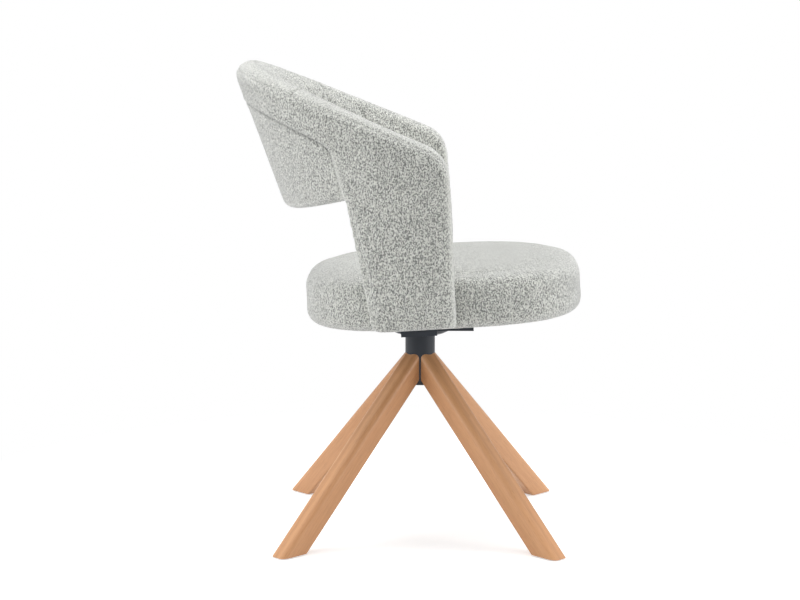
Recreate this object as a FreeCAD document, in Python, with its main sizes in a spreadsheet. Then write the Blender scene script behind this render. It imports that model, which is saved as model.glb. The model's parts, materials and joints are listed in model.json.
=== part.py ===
import FreeCAD, Part
import math
import os
import Sketcher

# Swivel dining chair. The front is -Y, up is +Z, and the origin is on the swivel axis at the floor.
# Left and right are the sitter's own: left is +X.

V = FreeCAD.Vector
doc = FreeCAD.newDocument("swivel_dining_chair")

# Driving dimensions, in millimetres and degrees
DIMENSIONS = {
    # wooden legs and their glides
    "leg_width": 35.0,
    "leg_thickness": 38.7,
    "leg_pitch": 44.6,
    "leg_reach": 341.6,
    "leg_azimuth": 45.0,
    "leg_top_round": 10.0,
    "leg_edge_round": 3.0,
    "glide_diameter": 24.0,
    "glide_height": 2.0,
    "glide_stem_diameter": 5.0,
    "glide_stem_length": 14.0,
    # steel column, its cap and the bolts that hold the legs
    "column_diameter": 53.0,
    "column_wall": 3.0,
    "column_top": 346.4,
    "cap_rim": 2.0,
    "cap_plug": 2.5,
    "leg_bolt_low": 10.0,
    "leg_bolt_spacing": 16.5,
    "leg_bolt_diameter": 6.0,
    "leg_bolt_length": 22.0,
    "leg_bolt_head_diameter": 10.5,
    "leg_bolt_head_height": 3.3,
    "bolt_hole_play": 0.4,
    "insert_diameter": 9.0,
    "insert_length": 20.0,
    # swivel bearing
    "sleeve_diameter": 34.0,
    "sleeve_bore": 28.0,
    "sleeve_flange_height": 10.0,
    "sleeve_length": 72.0,
    "bush_length": 18.0,
    "bush_lip": 1.5,
    "spindle_diameter": 22.0,
    "spindle_end_length": 7.0,
    "spindle_head_height": 14.0,
    "running_play": 0.05,
    "race_diameter": 45.0,
    "race_thickness": 3.2,
    "race_groove_depth": 1.2,
    "ball_diameter": 5.0,
    "ball_count": 14,
    "ball_circle": 35.0,
    "ball_play": 0.03,
    "cage_thickness": 1.4,
    "cage_width": 8.0,
    "cage_play": 0.15,
    "washer_diameter": 33.0,
    "washer_thickness": 2.0,
    "ring_thickness": 1.2,
    "ring_depth": 1.4,
    "ring_diameter": 30.0,
    # bearing housing and swivel plate
    "housing_diameter": 110.0,
    "housing_wall": 2.5,
    "housing_gap": 0.8,
    "housing_dish": 14.0,
    "plate_side": 185.4,
    "plate_sheet": 3.0,
    "plate_rim_height": 367.8,
    "plate_hole_spacing": 150.0,
    # round seat
    "seat_forward": 43.0,
    "seat_under": 390.8,
    "seat_tilt": 3.07,
    "seat_length": 486.5,
    "seat_side_inset": 15.5,
    "seat_squareness": 2.84,
    "seat_edge_height": 90.5,
    "seat_crown": 15.0,
    "seat_top_round": 26.0,
    "seat_bottom_round": 23.0,
    "seat_seam_drop": 15.0,
    "cover_thickness": 2.5,
    "board_thickness": 12.0,
    "board_inset": 28.0,
    "cover_return": 38.0,
    "screw_diameter": 6.0,
    "screw_length": 13.0,
    "screw_head_diameter": 12.0,
    "screw_head_height": 3.5,
    "tee_nut_diameter": 9.0,
    "tee_nut_flange": 18.0,
    "tee_nut_sheet": 1.5,
    # steel brackets between the seat board and the back
    "bracket_width": 60.0,
    "bracket_sheet": 4.0,
    "bracket_inner": 150.0,
    "bracket_rise": 62.0,
    "bracket_screw_inset": 12.0,
    "bracket_screw_spacing": 36.0,
    "bracket_forward": 0.0,
    # steel hoop in the back
    "hoop_diameter": 16.0,
    "hoop_wall": 1.5,
    "hoop_side_depth": 30.5,
    "hoop_rear_depth": 44.5,
    "hoop_crest_drop": 70.0,
    "hoop_front_inset": 41.0,
    "hoop_bend": 45.0,
    "hoop_foot_height": 410.0,
    # upholstered back
    "back_half_width": 287.5,
    "back_centre": -38.0,
    "back_level": 600.0,
    "back_lean": 20.0,
    "back_front_lean": 3.7,
    "back_side_taper": 3.0,
    "back_thickness": 54.0,
    "back_lower_round": 18.0,
    "crest_rear_height": 832.0,
    "crest_rear_depth": 290.0,
    "crest_slope": 22.8,
    "back_lower_height": 569.5,
    "back_lower_rise": 79.0,
    "seam_rear_height": 762.0,
    "seam_fall": 160.0,
    "side_start": 57.0,
    "side_thickness": 38.5,
    "side_waist_height": 488.0,
    "side_front": -53.0,
    "side_front_foot": -62.5,
    "side_rear_foot": 74.0,
    "side_foot_rear_height": 394.0,
    "side_foot_front_height": 402.0,
    "side_foot_curve": 12.0,
    "side_edge_round": 14.0,
    "arm_corner_round": 38.0,
}

sheet = doc.addObject("Spreadsheet::Sheet", "Sizes")
for row, (alias, number) in enumerate(DIMENSIONS.items(), 1):
    sheet.set(f"A{row}", alias)
    sheet.set(f"B{row}", str(number))
    sheet.setAlias(f"B{row}", alias)
doc.recompute()


def bound(formula):
    """The formula with each of its size names written as the sheet's own cell."""
    words = formula
    for alias in sorted(DIMENSIONS, key=len, reverse=True):
        words = words.replace(alias, "@" + alias[::-1] + "@")
    for alias in DIMENSIONS:
        words = words.replace("@" + alias[::-1] + "@", "Sizes." + alias)
    return words


def size(formula):
    """The value of a formula of the sheet's sizes."""
    return float(sheet.evalExpression(bound(formula)))


# Formulas that more than one piece shares
COLUMN_RADIUS = "column_diameter / 2"
COLUMN_BORE = "(column_diameter / 2 - column_wall)"
FOOT_INNER = "(leg_reach - leg_thickness / sin(leg_pitch))"
LEG_TOP = "(glide_height + (leg_reach - column_diameter / 2) * tan(leg_pitch))"
LEG_BOTTOM = f"(glide_height + ({FOOT_INNER} - column_diameter / 2) * tan(leg_pitch))"
BOLT_LEVELS = (f"({LEG_BOTTOM} + leg_bolt_low)", f"({LEG_BOTTOM} + leg_bolt_low + leg_bolt_spacing)")
GLIDE_RADIUS = f"((leg_reach + {FOOT_INNER}) / 2)"
BALL_LEVEL = "(column_top + race_thickness - race_groove_depth + ball_diameter / 2)"
UPPER_RACE = "(column_top + race_thickness - 2 * race_groove_depth + ball_diameter)"
RACE_TOP = f"({UPPER_RACE} + race_thickness)"
SLEEVE_FOOT = "(column_top - sleeve_length)"
WASHER_FOOT = f"({SLEEVE_FOOT} - bush_lip - running_play - washer_thickness)"
RING_FOOT = f"({WASHER_FOOT} - ring_thickness)"
SEAT_AXIS = "(seat_forward / cos(seat_tilt))"
SCREW_HOLE = "screw_diameter / 2 + bolt_hole_play"
SEAT_HALF_WIDTH = "(back_half_width - side_thickness - seat_side_inset)"
HOOP_HALF_WIDTH = "(back_half_width - hoop_side_depth)"
HOOP_LEVEL = "(crest_rear_height - hoop_crest_drop)"
HOOP_REAR = (f"(back_half_width + back_centre - hoop_rear_depth"
             f" + ({HOOP_LEVEL} - back_level) * tan(back_lean))")
PAN_UNDER = "(seat_under - seat_forward * tan(seat_tilt) - plate_sheet / cos(seat_tilt))"
# Curves given by a few points: shares of a size, or degrees of a turn
HOUSING_CURVE = ((0.8, 0.25), (0.93, 0.5))
CROWN_RINGS = ((3.0, 0.55), (5.0, 0.9))
LOW_EDGE_TURNS = (0.0, 30.0, 60.0, 90.0)
TOP_EDGE_TURNS = (0.0, 30.0, 60.0, 85.0)
SEAT_POINTS = 32
ROLL_STEPS = 6
ROLL_SEAM = 2
REAR_STEPS = 4
OUTER_CORNER = 180.0
INNER_CORNER = 270.0
CORNER_TURNS = (0.0, 45.0, 90.0)

# Where each leg stands, as a turn from the +X axis
LEG_ANGLES = {
    "front_right": "180 + leg_azimuth",
    "rear_right": "180 - leg_azimuth",
    "rear_left": "leg_azimuth",
    "front_left": "-leg_azimuth",
}


def sketch(body, role, outlines, name):
    """A sketch on one of the body's own planes, with each corner held by formulas."""
    drawing = body.newObject("Sketcher::SketchObject", name)
    plane = [item for item in body.Origin.OriginFeatures if item.Role == role][0]
    drawing.AttachmentSupport = [(plane, "")]
    drawing.MapMode = "FlatFace"
    for outline in outlines:
        if len(outline) == 3:
            add_circle(drawing, *outline)
        else:
            add_polygon(drawing, outline)
    return drawing


def hold(drawing, kind, element, point, formula):
    """One distance from the sketch's origin, bound to the sheet."""
    number = drawing.addConstraint(Sketcher.Constraint(kind, -1, 1, element, point, size(formula)))
    drawing.setExpression(f"Constraints[{number}]", bound(formula))


def add_circle(drawing, across, up, radius):
    """A circle whose centre and radius are formulas."""
    shape = Part.Circle(V(size(across), size(up), 0), V(0, 0, 1), size(radius))
    element = drawing.addGeometry(shape, False)
    number = drawing.addConstraint(Sketcher.Constraint("Radius", element, size(radius)))
    drawing.setExpression(f"Constraints[{number}]", bound(radius))
    hold(drawing, "DistanceX", element, 3, across)
    hold(drawing, "DistanceY", element, 3, up)


def add_polygon(drawing, corners):
    """A closed outline of straight lines through corners given as pairs of formulas."""
    places = [V(size(across), size(up), 0) for across, up in corners]
    first = drawing.GeometryCount
    count = len(places)
    for number, place in enumerate(places):
        drawing.addGeometry(Part.LineSegment(place, places[(number + 1) % count]), False)
    for number in range(count):
        following = first + (number + 1) % count
        drawing.addConstraint(Sketcher.Constraint("Coincident", first + number, 2, following, 1))
    for number, (across, up) in enumerate(corners):
        hold(drawing, "DistanceX", first + number, 1, across)
        hold(drawing, "DistanceY", first + number, 1, up)


def new_body(name):
    """An empty body that carries its node's name."""
    body = doc.addObject("PartDesign::Body", name)
    body.Label = name
    return body


def pad(body, drawing, length, middle=False):
    """Material to the given length from the sketch, or to both sides of it."""
    feature = body.newObject("PartDesign::Pad", "Pad")
    feature.Profile = drawing
    feature.SideType = "Symmetric" if middle else "One side"
    feature.setExpression("Length", bound(length))
    doc.recompute()
    return feature


def pocket(body, drawing, length=None, turned=False):
    """A cut of the given length, or through everything on both sides."""
    before = body.Shape.Volume
    feature = body.newObject("PartDesign::Pocket", "Pocket")
    feature.Profile = drawing
    if length is None:
        feature.SideType = "Symmetric"
        feature.Type = "ThroughAll"
    else:
        feature.Reversed = turned
        feature.setExpression("Length", bound(length))
    doc.recompute()
    if body.Shape.Volume >= before:
        raise RuntimeError(f"{body.Label}: the pocket cuts nothing")
    return feature


def revolve(body, corners):
    """A turned piece: the outline of radius and height, turned about the swivel axis."""
    drawing = sketch(body, "XZ_Plane", [corners], "Profile")
    feature = body.newObject("PartDesign::Revolution", "Turning")
    feature.Profile = drawing
    feature.ReferenceAxis = (drawing, ["V_Axis"])
    feature.Angle = 360
    doc.recompute()


def around(body, feature, count):
    """Copies of a feature, evenly spaced about the swivel axis."""
    pattern = body.newObject("PartDesign::PolarPattern", "Pattern")
    pattern.Originals = [feature]
    axis = [item for item in body.Origin.OriginFeatures if item.Role == "Z_Axis"][0]
    pattern.Axis = (axis, [""])
    pattern.Angle = 360
    pattern.Occurrences = count
    body.Tip = pattern
    doc.recompute()


def fillet(body, base, radius, chosen):
    """Rounded edges: those whose middle passes the test."""
    names = []
    for number, edge in enumerate(base.Shape.Edges, 1):
        middle = edge.valueAt((edge.FirstParameter + edge.LastParameter) / 2)
        if chosen(edge, middle):
            names.append(f"Edge{number}")
    feature = body.newObject("PartDesign::Fillet", "Fillet")
    feature.Base = (base, names)
    feature.setExpression("Radius", bound(radius))
    doc.recompute()
    return feature


def turn_about_axis(item, angle):
    """The piece turned about the swivel axis by a formula."""
    item.Placement = FreeCAD.Placement(V(0, 0, 0), FreeCAD.Rotation(V(0, 0, 1), size(angle)))
    item.setExpression("Placement.Rotation.Angle", bound(angle))


def tilt_with_seat(item):
    """The piece drawn on the seat's own underside plane, moved to its tilted place."""
    turn = FreeCAD.Rotation(V(1, 0, 0), -size("seat_tilt"))
    item.Placement = FreeCAD.Placement(V(0, -size("seat_forward"), size("seat_under")), turn)
    item.setExpression("Placement.Rotation.Angle", bound("-seat_tilt"))
    item.setExpression("Placement.Base.y", bound("-seat_forward"))
    item.setExpression("Placement.Base.z", bound("seat_under"))


def solid_node(name, shape):
    """A piece whose shape is worked out here from the sheet's sizes."""
    item = doc.addObject("Part::Feature", name)
    item.Label = name
    item.Shape = shape
    return item


def cylinder(radius, length, base=V(0, 0, 0), axis=V(0, 0, 1)):
    """A round bar."""
    return Part.makeCylinder(radius, length, base, axis)


# Base

def make_leg(name, angle):
    """A straight wooden leg whose upper end is hollowed to sit round the column."""
    body = new_body(name)
    start = "sqrt(pow(column_diameter / 2; 2) - pow(leg_width / 2; 2)) - leg_edge_round"
    rise = f"({COLUMN_RADIUS} - ({start})) * tan(leg_pitch)"
    top = f"({LEG_TOP} + {rise})"
    bottom = f"({LEG_BOTTOM} + {rise})"
    side = [(start, bottom), (FOOT_INNER, "glide_height"), ("leg_reach", "glide_height"), (start, top)]
    beam = pad(body, sketch(body, "XZ_Plane", [side], "Side"), "leg_width", middle=True)
    slope = math.radians(size("leg_pitch"))
    along = V(math.cos(slope), 0, -math.sin(slope))
    upper = size(LEG_TOP) + size(COLUMN_RADIUS) * math.tan(slope)

    def is_long(edge):
        return abs(edge.tangentAt(edge.FirstParameter).dot(along)) > 0.999

    def is_upper(middle):
        return abs(middle.z + middle.x * math.tan(slope) - upper) < 1

    rounded = fillet(body, beam, "leg_top_round", lambda edge, middle: is_long(edge) and is_upper(middle))
    width = size("leg_width")
    eased = fillet(
        body, rounded, "leg_edge_round",
        lambda edge, middle: is_long(edge) and not is_upper(middle)
        and abs(abs(middle.y) - width / 2) < 0.01 and abs(edge.Length) > width
        and middle.z + middle.x * math.tan(slope) < upper - size("leg_thickness"))
    body.Tip = eased
    pocket(body, sketch(body, "XY_Plane", [("0", "0", COLUMN_RADIUS)], "Hub"))
    holes = [("0", level, "insert_diameter / 2") for level in BOLT_LEVELS]
    pocket(body, sketch(body, "YZ_Plane", holes, "InsertHoles"), "column_diameter / 2 + insert_length",
           turned=True)
    stem = [(GLIDE_RADIUS, "0", "glide_stem_diameter / 2")]
    pocket(body, sketch(body, "XY_Plane", stem, "StemHole"), "glide_height + glide_stem_length",
           turned=True)
    turn_about_axis(body, angle)


def make_glide(name, angle):
    """A nail-on glide under one foot."""
    body = new_body(name)
    disc = [(GLIDE_RADIUS, "0", "glide_diameter / 2")]
    pad(body, sketch(body, "XY_Plane", disc, "Disc"), "glide_height")
    stem = [(GLIDE_RADIUS, "0", "glide_stem_diameter / 2")]
    pad(body, sketch(body, "XY_Plane", stem, "Stem"), "glide_height + glide_stem_length")
    body.Tip.Refine = True
    turn_about_axis(body, angle)


def make_column():
    """The steel tube that the legs are bolted to."""
    body = new_body("column_tube")
    revolve(body, [(COLUMN_BORE, LEG_BOTTOM), (COLUMN_RADIUS, LEG_BOTTOM),
                   (COLUMN_RADIUS, "column_top"), (COLUMN_BORE, "column_top")])
    holes = [("0", level, "leg_bolt_diameter / 2 + bolt_hole_play") for level in BOLT_LEVELS]
    hole = pocket(body, sketch(body, "YZ_Plane", holes, "BoltHoles"), "column_diameter", turned=True)
    around(body, hole, 4)
    turn_about_axis(body, "leg_azimuth")


def leg_bolt_parts(level):
    """One leg bolt and its threaded insert, lying along +X at the given height."""
    radius = size("leg_bolt_diameter") / 2
    head_radius = size("leg_bolt_head_diameter") / 2
    head_height = size("leg_bolt_head_height")
    outwards = V(1, 0, 0)
    seat = math.sqrt(size(COLUMN_BORE) ** 2 - head_radius ** 2)
    head_end = V(seat - head_height, 0, level)
    head = cylinder(head_radius, head_height, head_end, outwards)
    shank = cylinder(radius, size("leg_bolt_length"), V(seat, 0, level), outwards)
    socket = cylinder(radius / 2, head_height / 2, head_end, outwards)
    start = V(size(COLUMN_RADIUS), 0, level)
    insert = cylinder(size("insert_diameter") / 2, size("insert_length"), start, outwards)
    insert = insert.cut(cylinder(radius, size("insert_length"), start, outwards))
    return head.fuse(shank).cut(socket), insert


def make_leg_fasteners():
    """Eight bolts from inside the tube, and the eight inserts that they enter."""
    bolts = []
    inserts = []
    for level in BOLT_LEVELS:
        bolt, insert = leg_bolt_parts(size(level))
        for angle in LEG_ANGLES.values():
            turn = FreeCAD.Placement(V(0, 0, 0), FreeCAD.Rotation(V(0, 0, 1), size(angle)))
            bolts.append(bolt.transformed(turn.toMatrix(), True))
            inserts.append(insert.transformed(turn.toMatrix(), True))
    solid_node("leg_bolts", Part.makeCompound(bolts))
    solid_node("leg_inserts", Part.makeCompound(inserts))


def make_column_cap():
    """The plug that closes the column's lower end."""
    top = f"({LEG_BOTTOM} + cap_rim + cap_plug)"
    revolve(new_body("column_cap"), [
        ("0", LEG_BOTTOM), (COLUMN_BORE, LEG_BOTTOM), (COLUMN_BORE, top),
        (f"{COLUMN_BORE} - cap_rim", top), (f"{COLUMN_BORE} - cap_rim", f"{LEG_BOTTOM} + cap_rim"),
        ("0", f"{LEG_BOTTOM} + cap_rim")])


# Swivel bearing

def make_sleeve():
    """The bearing sleeve, whose flange closes the top of the column."""
    flange = "(column_top - sleeve_flange_height)"
    revolve(new_body("bearing_sleeve"), [
        ("sleeve_bore / 2", SLEEVE_FOOT), ("sleeve_diameter / 2", SLEEVE_FOOT),
        ("sleeve_diameter / 2", flange), (COLUMN_BORE, flange), (COLUMN_BORE, "column_top"),
        ("sleeve_bore / 2", "column_top")])


def make_bushes():
    """Two flanged plastic bushes, one at each end of the sleeve."""
    bore = "spindle_diameter / 2 + running_play"
    top = "column_top"
    revolve(new_body("upper_bush"), [
        (bore, f"{top} - bush_length"), ("sleeve_bore / 2", f"{top} - bush_length"),
        ("sleeve_bore / 2", top), (bore, top)])
    revolve(new_body("lower_bush"), [
        (bore, f"{SLEEVE_FOOT} - bush_lip"), ("sleeve_diameter / 2", f"{SLEEVE_FOOT} - bush_lip"),
        ("sleeve_diameter / 2", SLEEVE_FOOT), ("sleeve_bore / 2", SLEEVE_FOOT),
        ("sleeve_bore / 2", f"{SLEEVE_FOOT} + bush_length"), (bore, f"{SLEEVE_FOOT} + bush_length")])


def race_shape(foot, groove_level):
    """A flat ring with a round groove for the balls."""
    outer = size("race_diameter") / 2
    inner = size("spindle_diameter") / 2 + size("cage_play")
    ring = cylinder(outer, size("race_thickness"), V(0, 0, foot))
    ring = ring.cut(cylinder(inner, size("race_thickness"), V(0, 0, foot)))
    groove = Part.makeTorus(size("ball_circle") / 2, size("ball_diameter") / 2 + size("ball_play"),
                            V(0, 0, groove_level))
    return ring.cut(groove)


def make_thrust_bearing():
    """Two races, the balls between them and the cage that spaces the balls."""
    level = size(BALL_LEVEL)
    solid_node("lower_race", race_shape(size("column_top"), level))
    solid_node("upper_race", race_shape(size(UPPER_RACE), level))
    count = int(size("ball_count"))
    pitch = size("ball_circle") / 2
    middle = size("cage_thickness") / 2
    balls = []
    cage = cylinder(pitch + size("cage_width") / 2, 2 * middle, V(0, 0, level - middle))
    cage = cage.cut(cylinder(pitch - size("cage_width") / 2, 2 * middle, V(0, 0, level - middle)))
    for number in range(count):
        turn = 2 * math.pi * number / count
        place = V(pitch * math.cos(turn), pitch * math.sin(turn), level)
        balls.append(Part.makeSphere(size("ball_diameter") / 2, place))
        hole = cylinder(size("ball_diameter") / 2 + size("cage_play"), 2 * middle, place - V(0, 0, middle))
        cage = cage.cut(hole)
    solid_node("bearing_balls", Part.makeCompound(balls))
    solid_node("ball_cage", cage)


def make_spindle():
    """The spindle that turns in the bushes, with a groove for its retaining ring."""
    radius = "spindle_diameter / 2"
    groove = "spindle_diameter / 2 - ring_depth"
    foot = f"({RING_FOOT} - spindle_end_length)"
    top = f"({RACE_TOP} + spindle_head_height)"
    revolve(new_body("spindle"), [
        ("0", foot), (radius, foot), (radius, RING_FOOT), (groove, RING_FOOT),
        (groove, WASHER_FOOT), (radius, WASHER_FOOT), (radius, top), ("0", top)])


def make_retainer():
    """The washer under the lower bush and the split ring that holds it up."""
    revolve(new_body("thrust_washer"), [
        ("spindle_diameter / 2", WASHER_FOOT), ("washer_diameter / 2", WASHER_FOOT),
        ("washer_diameter / 2", f"{WASHER_FOOT} + washer_thickness"),
        ("spindle_diameter / 2", f"{WASHER_FOOT} + washer_thickness")])
    body = new_body("retaining_ring")
    revolve(body, [
        ("spindle_diameter / 2 - ring_depth", RING_FOOT), ("ring_diameter / 2", RING_FOOT),
        ("ring_diameter / 2", WASHER_FOOT), ("spindle_diameter / 2 - ring_depth", WASHER_FOOT)])
    mouth = [("0", "-ring_depth"), ("ring_diameter", "-ring_depth"),
             ("ring_diameter", "ring_depth"), ("0", "ring_depth")]
    pocket(body, sketch(body, "XY_Plane", [mouth], "Mouth"))


def make_housing():
    """The dished housing over the bearing, trimmed to the tilted swivel plate."""
    body = new_body("bearing_housing")
    wall = "housing_wall"
    foot = "(column_top + housing_gap)"
    throat = "(race_diameter / 2 + housing_gap)"
    rim = "(housing_diameter / 2)"
    dish = f"({foot} + housing_dish)"
    high = "(seat_under + plate_sheet)"
    under = [(f"{rim} * {out}", f"{foot} + housing_dish * {up}") for out, up in HOUSING_CURVE]
    inside = [(f"{out} - {wall}", f"{up} + {wall}") for out, up in reversed(under)]
    revolve(body, [
        ("spindle_diameter / 2", RACE_TOP), (throat, RACE_TOP), (throat, foot),
        (f"{throat} + 2 * {wall}", foot), *under, (rim, dish), (rim, high),
        (f"{rim} - {wall}", high), (f"{rim} - {wall}", f"{dish} + {wall} / 2"), *inside,
        (f"{throat} + 2 * {wall}", f"{foot} + {wall}"), (f"{throat} + {wall}", f"{foot} + {wall}"),
        (f"{throat} + {wall}", f"{RACE_TOP} + {wall}"), ("spindle_diameter / 2", f"{RACE_TOP} + {wall}")])
    reach = "housing_diameter"
    drop = f"{reach} * tan(seat_tilt)"
    above = [(f"-{reach}", f"{PAN_UNDER} + {drop}"), (reach, f"{PAN_UNDER} - {drop}"),
             (reach, f"{high} + {reach}"), (f"-{reach}", f"{high} + {reach}")]
    pocket(body, sketch(body, "YZ_Plane", [above], "Trim"))


def make_swivel_plate():
    """The folded steel plate under the seat board, its rim level with the floor."""
    body = new_body("swivel_plate")

    def rim(across):
        return f"((plate_rim_height - seat_under + ({across}) * sin(seat_tilt)) / cos(seat_tilt))"

    front = f"({SEAT_AXIS} - plate_side / 2)"
    rear = f"({SEAT_AXIS} + plate_side / 2)"
    outer = [(front, rim(front)), (rear, rim(rear)), (rear, "0"), (front, "0")]
    pad(body, sketch(body, "YZ_Plane", [outer], "Outside"), "plate_side", middle=True)
    inner_front = f"({front} + plate_sheet)"
    inner_rear = f"({rear} - plate_sheet)"
    inner = [(inner_front, f"{rim(inner_front)} - plate_sheet"),
             (inner_rear, f"{rim(inner_rear)} - plate_sheet"),
             (inner_rear, "-plate_sheet"), (inner_front, "-plate_sheet")]
    hollow = body.newObject("PartDesign::Pocket", "Hollow")
    hollow.Profile = sketch(body, "YZ_Plane", [inner], "Inside")
    hollow.SideType = "Symmetric"
    hollow.setExpression("Length", bound("plate_side - 2 * plate_sheet"))
    doc.recompute()
    holes = [(across, up, SCREW_HOLE) for across, up in plate_screw_places()]
    pocket(body, sketch(body, "XY_Plane", holes, "Holes"))
    tilt_with_seat(body)


def plate_screw_places():
    """The four screw places of the swivel plate, in the seat's own plane."""
    half = "plate_hole_spacing / 2"
    return [(f"{across}({half})", f"{SEAT_AXIS} {up} {half}") for across in ("-", "") for up in ("-", "+")]


def bracket_screw_places():
    """The four screw places of the side brackets, in the seat's own plane."""
    across = "bracket_inner + bracket_screw_inset"
    return [(f"{side}({across})", f"{SEAT_AXIS} - bracket_forward {up} bracket_screw_spacing / 2")
            for side in ("-", "") for up in ("-", "+")]


# Seat

def rounded_outline(half_width, half_length, level):
    """A superellipse in the seat's own plane, at a height above its underside."""
    power = size("seat_squareness")
    places = []
    for number in range(SEAT_POINTS):
        turn = 2 * math.pi * number / SEAT_POINTS
        across, up = math.cos(turn), math.sin(turn)
        reach = (abs(across / half_width) ** power + abs(up / half_length) ** power) ** (-1 / power)
        places.append(V(reach * across, reach * up, level))
    curve = Part.BSplineCurve()
    curve.interpolate(places, PeriodicFlag=True)
    return Part.Wire([curve.toShape()])


def seat_loft(inset):
    """The seat's upholstered shape, or the shape a given depth under its surface."""
    top = size("seat_edge_height")
    top_round = size("seat_top_round")
    low_round = size("seat_bottom_round")
    crown = size("seat_crown")
    rings = []
    for turn in LOW_EDGE_TURNS:
        angle = math.radians(turn)
        rings.append((low_round * (1 - math.sin(angle)), low_round * (1 - math.cos(angle))))
    for turn in TOP_EDGE_TURNS:
        angle = math.radians(turn)
        rings.append((top_round * (1 - math.cos(angle)), top - top_round * (1 - math.sin(angle))))
    rings += [(top_round * inwards, top + crown * share) for inwards, share in CROWN_RINGS]
    width = size(SEAT_HALF_WIDTH)
    length = size("seat_length") / 2
    middle = (top + crown) / 2
    squeeze = (middle - inset) / middle
    wires = []
    for back, level in rings:
        height = middle + (level - middle) * squeeze
        wires.append(rounded_outline(width - inset - back, length - inset - back, height))
    return Part.makeLoft(wires, True, True)


def prism(outline, length):
    """A flat outline carried straight up."""
    return Part.Face(outline).extrude(V(0, 0, length))


def seat_outline(inset, level):
    """The seat's plan, drawn in from its edge."""
    return rounded_outline(size(SEAT_HALF_WIDTH) - inset, size("seat_length") / 2 - inset, level)


def seat_node(name, shape):
    """A piece made in the seat's own plane."""
    item = solid_node(name, shape)
    tilt_with_seat(item)
    return item


def all_screw_places():
    """Every screw place on the seat board, as numbers."""
    return [(size(across), size(up)) for across, up in plate_screw_places() + bracket_screw_places()]


def tee_nut(across, up):
    """A pronged nut let into the board from above."""
    skin = size("cover_thickness")
    thick = size("board_thickness")
    bore = size("screw_diameter") / 2
    top = skin + thick
    sheet_thick = size("tee_nut_sheet")
    barrel = cylinder(size("tee_nut_diameter") / 2, thick - sheet_thick, V(across, up, skin + sheet_thick))
    flange = cylinder(size("tee_nut_flange") / 2, sheet_thick, V(across, up, top - sheet_thick))
    nut = barrel.fuse(flange)
    return nut.cut(cylinder(bore, thick, V(across, up, skin)))


def screw(across, up, seat_level):
    """A pan-head screw, its head under the given level."""
    length = size("screw_length") - seat_level
    shank = cylinder(size("screw_diameter") / 2, length, V(across, up, seat_level))
    head_height = size("screw_head_height")
    head = cylinder(size("screw_head_diameter") / 2, head_height, V(across, up, seat_level - head_height))
    slot = cylinder(size("screw_diameter") / 4, head_height / 2, V(across, up, seat_level - head_height))
    return shank.fuse(head).cut(slot)


def make_seat_board():
    """The plywood board with its pronged nuts and the screws from below."""
    skin = size("cover_thickness")
    thick = size("board_thickness")
    board = prism(seat_outline(size("board_inset"), skin), thick)
    places = all_screw_places()
    for across, up in places:
        hole = cylinder(size(SCREW_HOLE), thick, V(across, up, skin))
        flange = cylinder(size("tee_nut_flange") / 2, size("tee_nut_sheet"),
                          V(across, up, skin + thick - size("tee_nut_sheet")))
        barrel = cylinder(size("tee_nut_diameter") / 2, thick, V(across, up, skin + size("tee_nut_sheet")))
        board = board.cut(hole).cut(flange).cut(barrel)
    seat_node("seat_board", board)
    nuts = [tee_nut(across, up) for across, up in places]
    plate_count = len(plate_screw_places())
    seat_node("plate_tee_nuts", Part.makeCompound(nuts[:plate_count]))
    seat_node("bracket_tee_nuts", Part.makeCompound(nuts[plate_count:]))
    plate = [screw(across, up, -size("plate_sheet")) for across, up in places[:plate_count]]
    bracket = [screw(across, up, -size("bracket_sheet")) for across, up in places[plate_count:]]
    seat_node("plate_screws", Part.makeCompound(plate))
    seat_node("bracket_screws", Part.makeCompound(bracket))
    cloth = prism(seat_outline(size("cover_return"), 0), skin)
    for across, up in places:
        cloth = cloth.cut(cylinder(size(SCREW_HOLE), skin, V(across, up, 0)))
    seat_node("dust_cover", cloth)


def make_seat_upholstery():
    """The foam and the two parts of the cover that are sewn round its upper edge."""
    skin = size("cover_thickness")
    outer = seat_loft(0)
    inner = seat_loft(skin)
    board = prism(seat_outline(size("board_inset"), 0), skin + size("board_thickness"))
    seat_node("seat_foam", inner.cut(board))
    shell = outer.cut(inner).cut(prism(seat_outline(size("cover_return"), -skin), 3 * skin))
    seam = size("seat_edge_height") - size("seat_seam_drop")
    span = size("seat_length")
    upper = Part.makeBox(2 * span, 2 * span, span, V(-span, -span, seam))
    seat_node("seat_top_cover", shell.common(upper))
    seat_node("seat_side_cover", shell.cut(upper))


def make_bracket(name, side):
    """An angle bracket: one leg under the seat board, the other up inside the side panel."""
    body = new_body(name)
    outside = f"({HOOP_HALF_WIDTH} - hoop_diameter / 2)"
    inside = f"({outside} - bracket_sheet)"
    corners = [("bracket_inner", "-bracket_sheet"), (outside, "-bracket_sheet"),
               (outside, "bracket_rise"), (inside, "bracket_rise"), (inside, "0"), ("bracket_inner", "0")]
    corners = [(f"{side} * {across}", up) for across, up in corners]
    drawing = sketch(body, "XZ_Plane", [corners], "Angle")
    pad(body, drawing, "bracket_width", middle=True)
    drawing.AttachmentOffset = FreeCAD.Placement(V(0, 0, 0), FreeCAD.Rotation())
    drawing.setExpression("AttachmentOffset.Base.z", bound(f"bracket_forward - {SEAT_AXIS}"))
    doc.recompute()
    places = [place for place in bracket_screw_places() if place[0].startswith("-") == (side < 0)]
    holes = [(across, up, SCREW_HOLE) for across, up in places]
    pocket(body, sketch(body, "XY_Plane", holes, "Holes"))
    tilt_with_seat(body)


# Back

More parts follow.
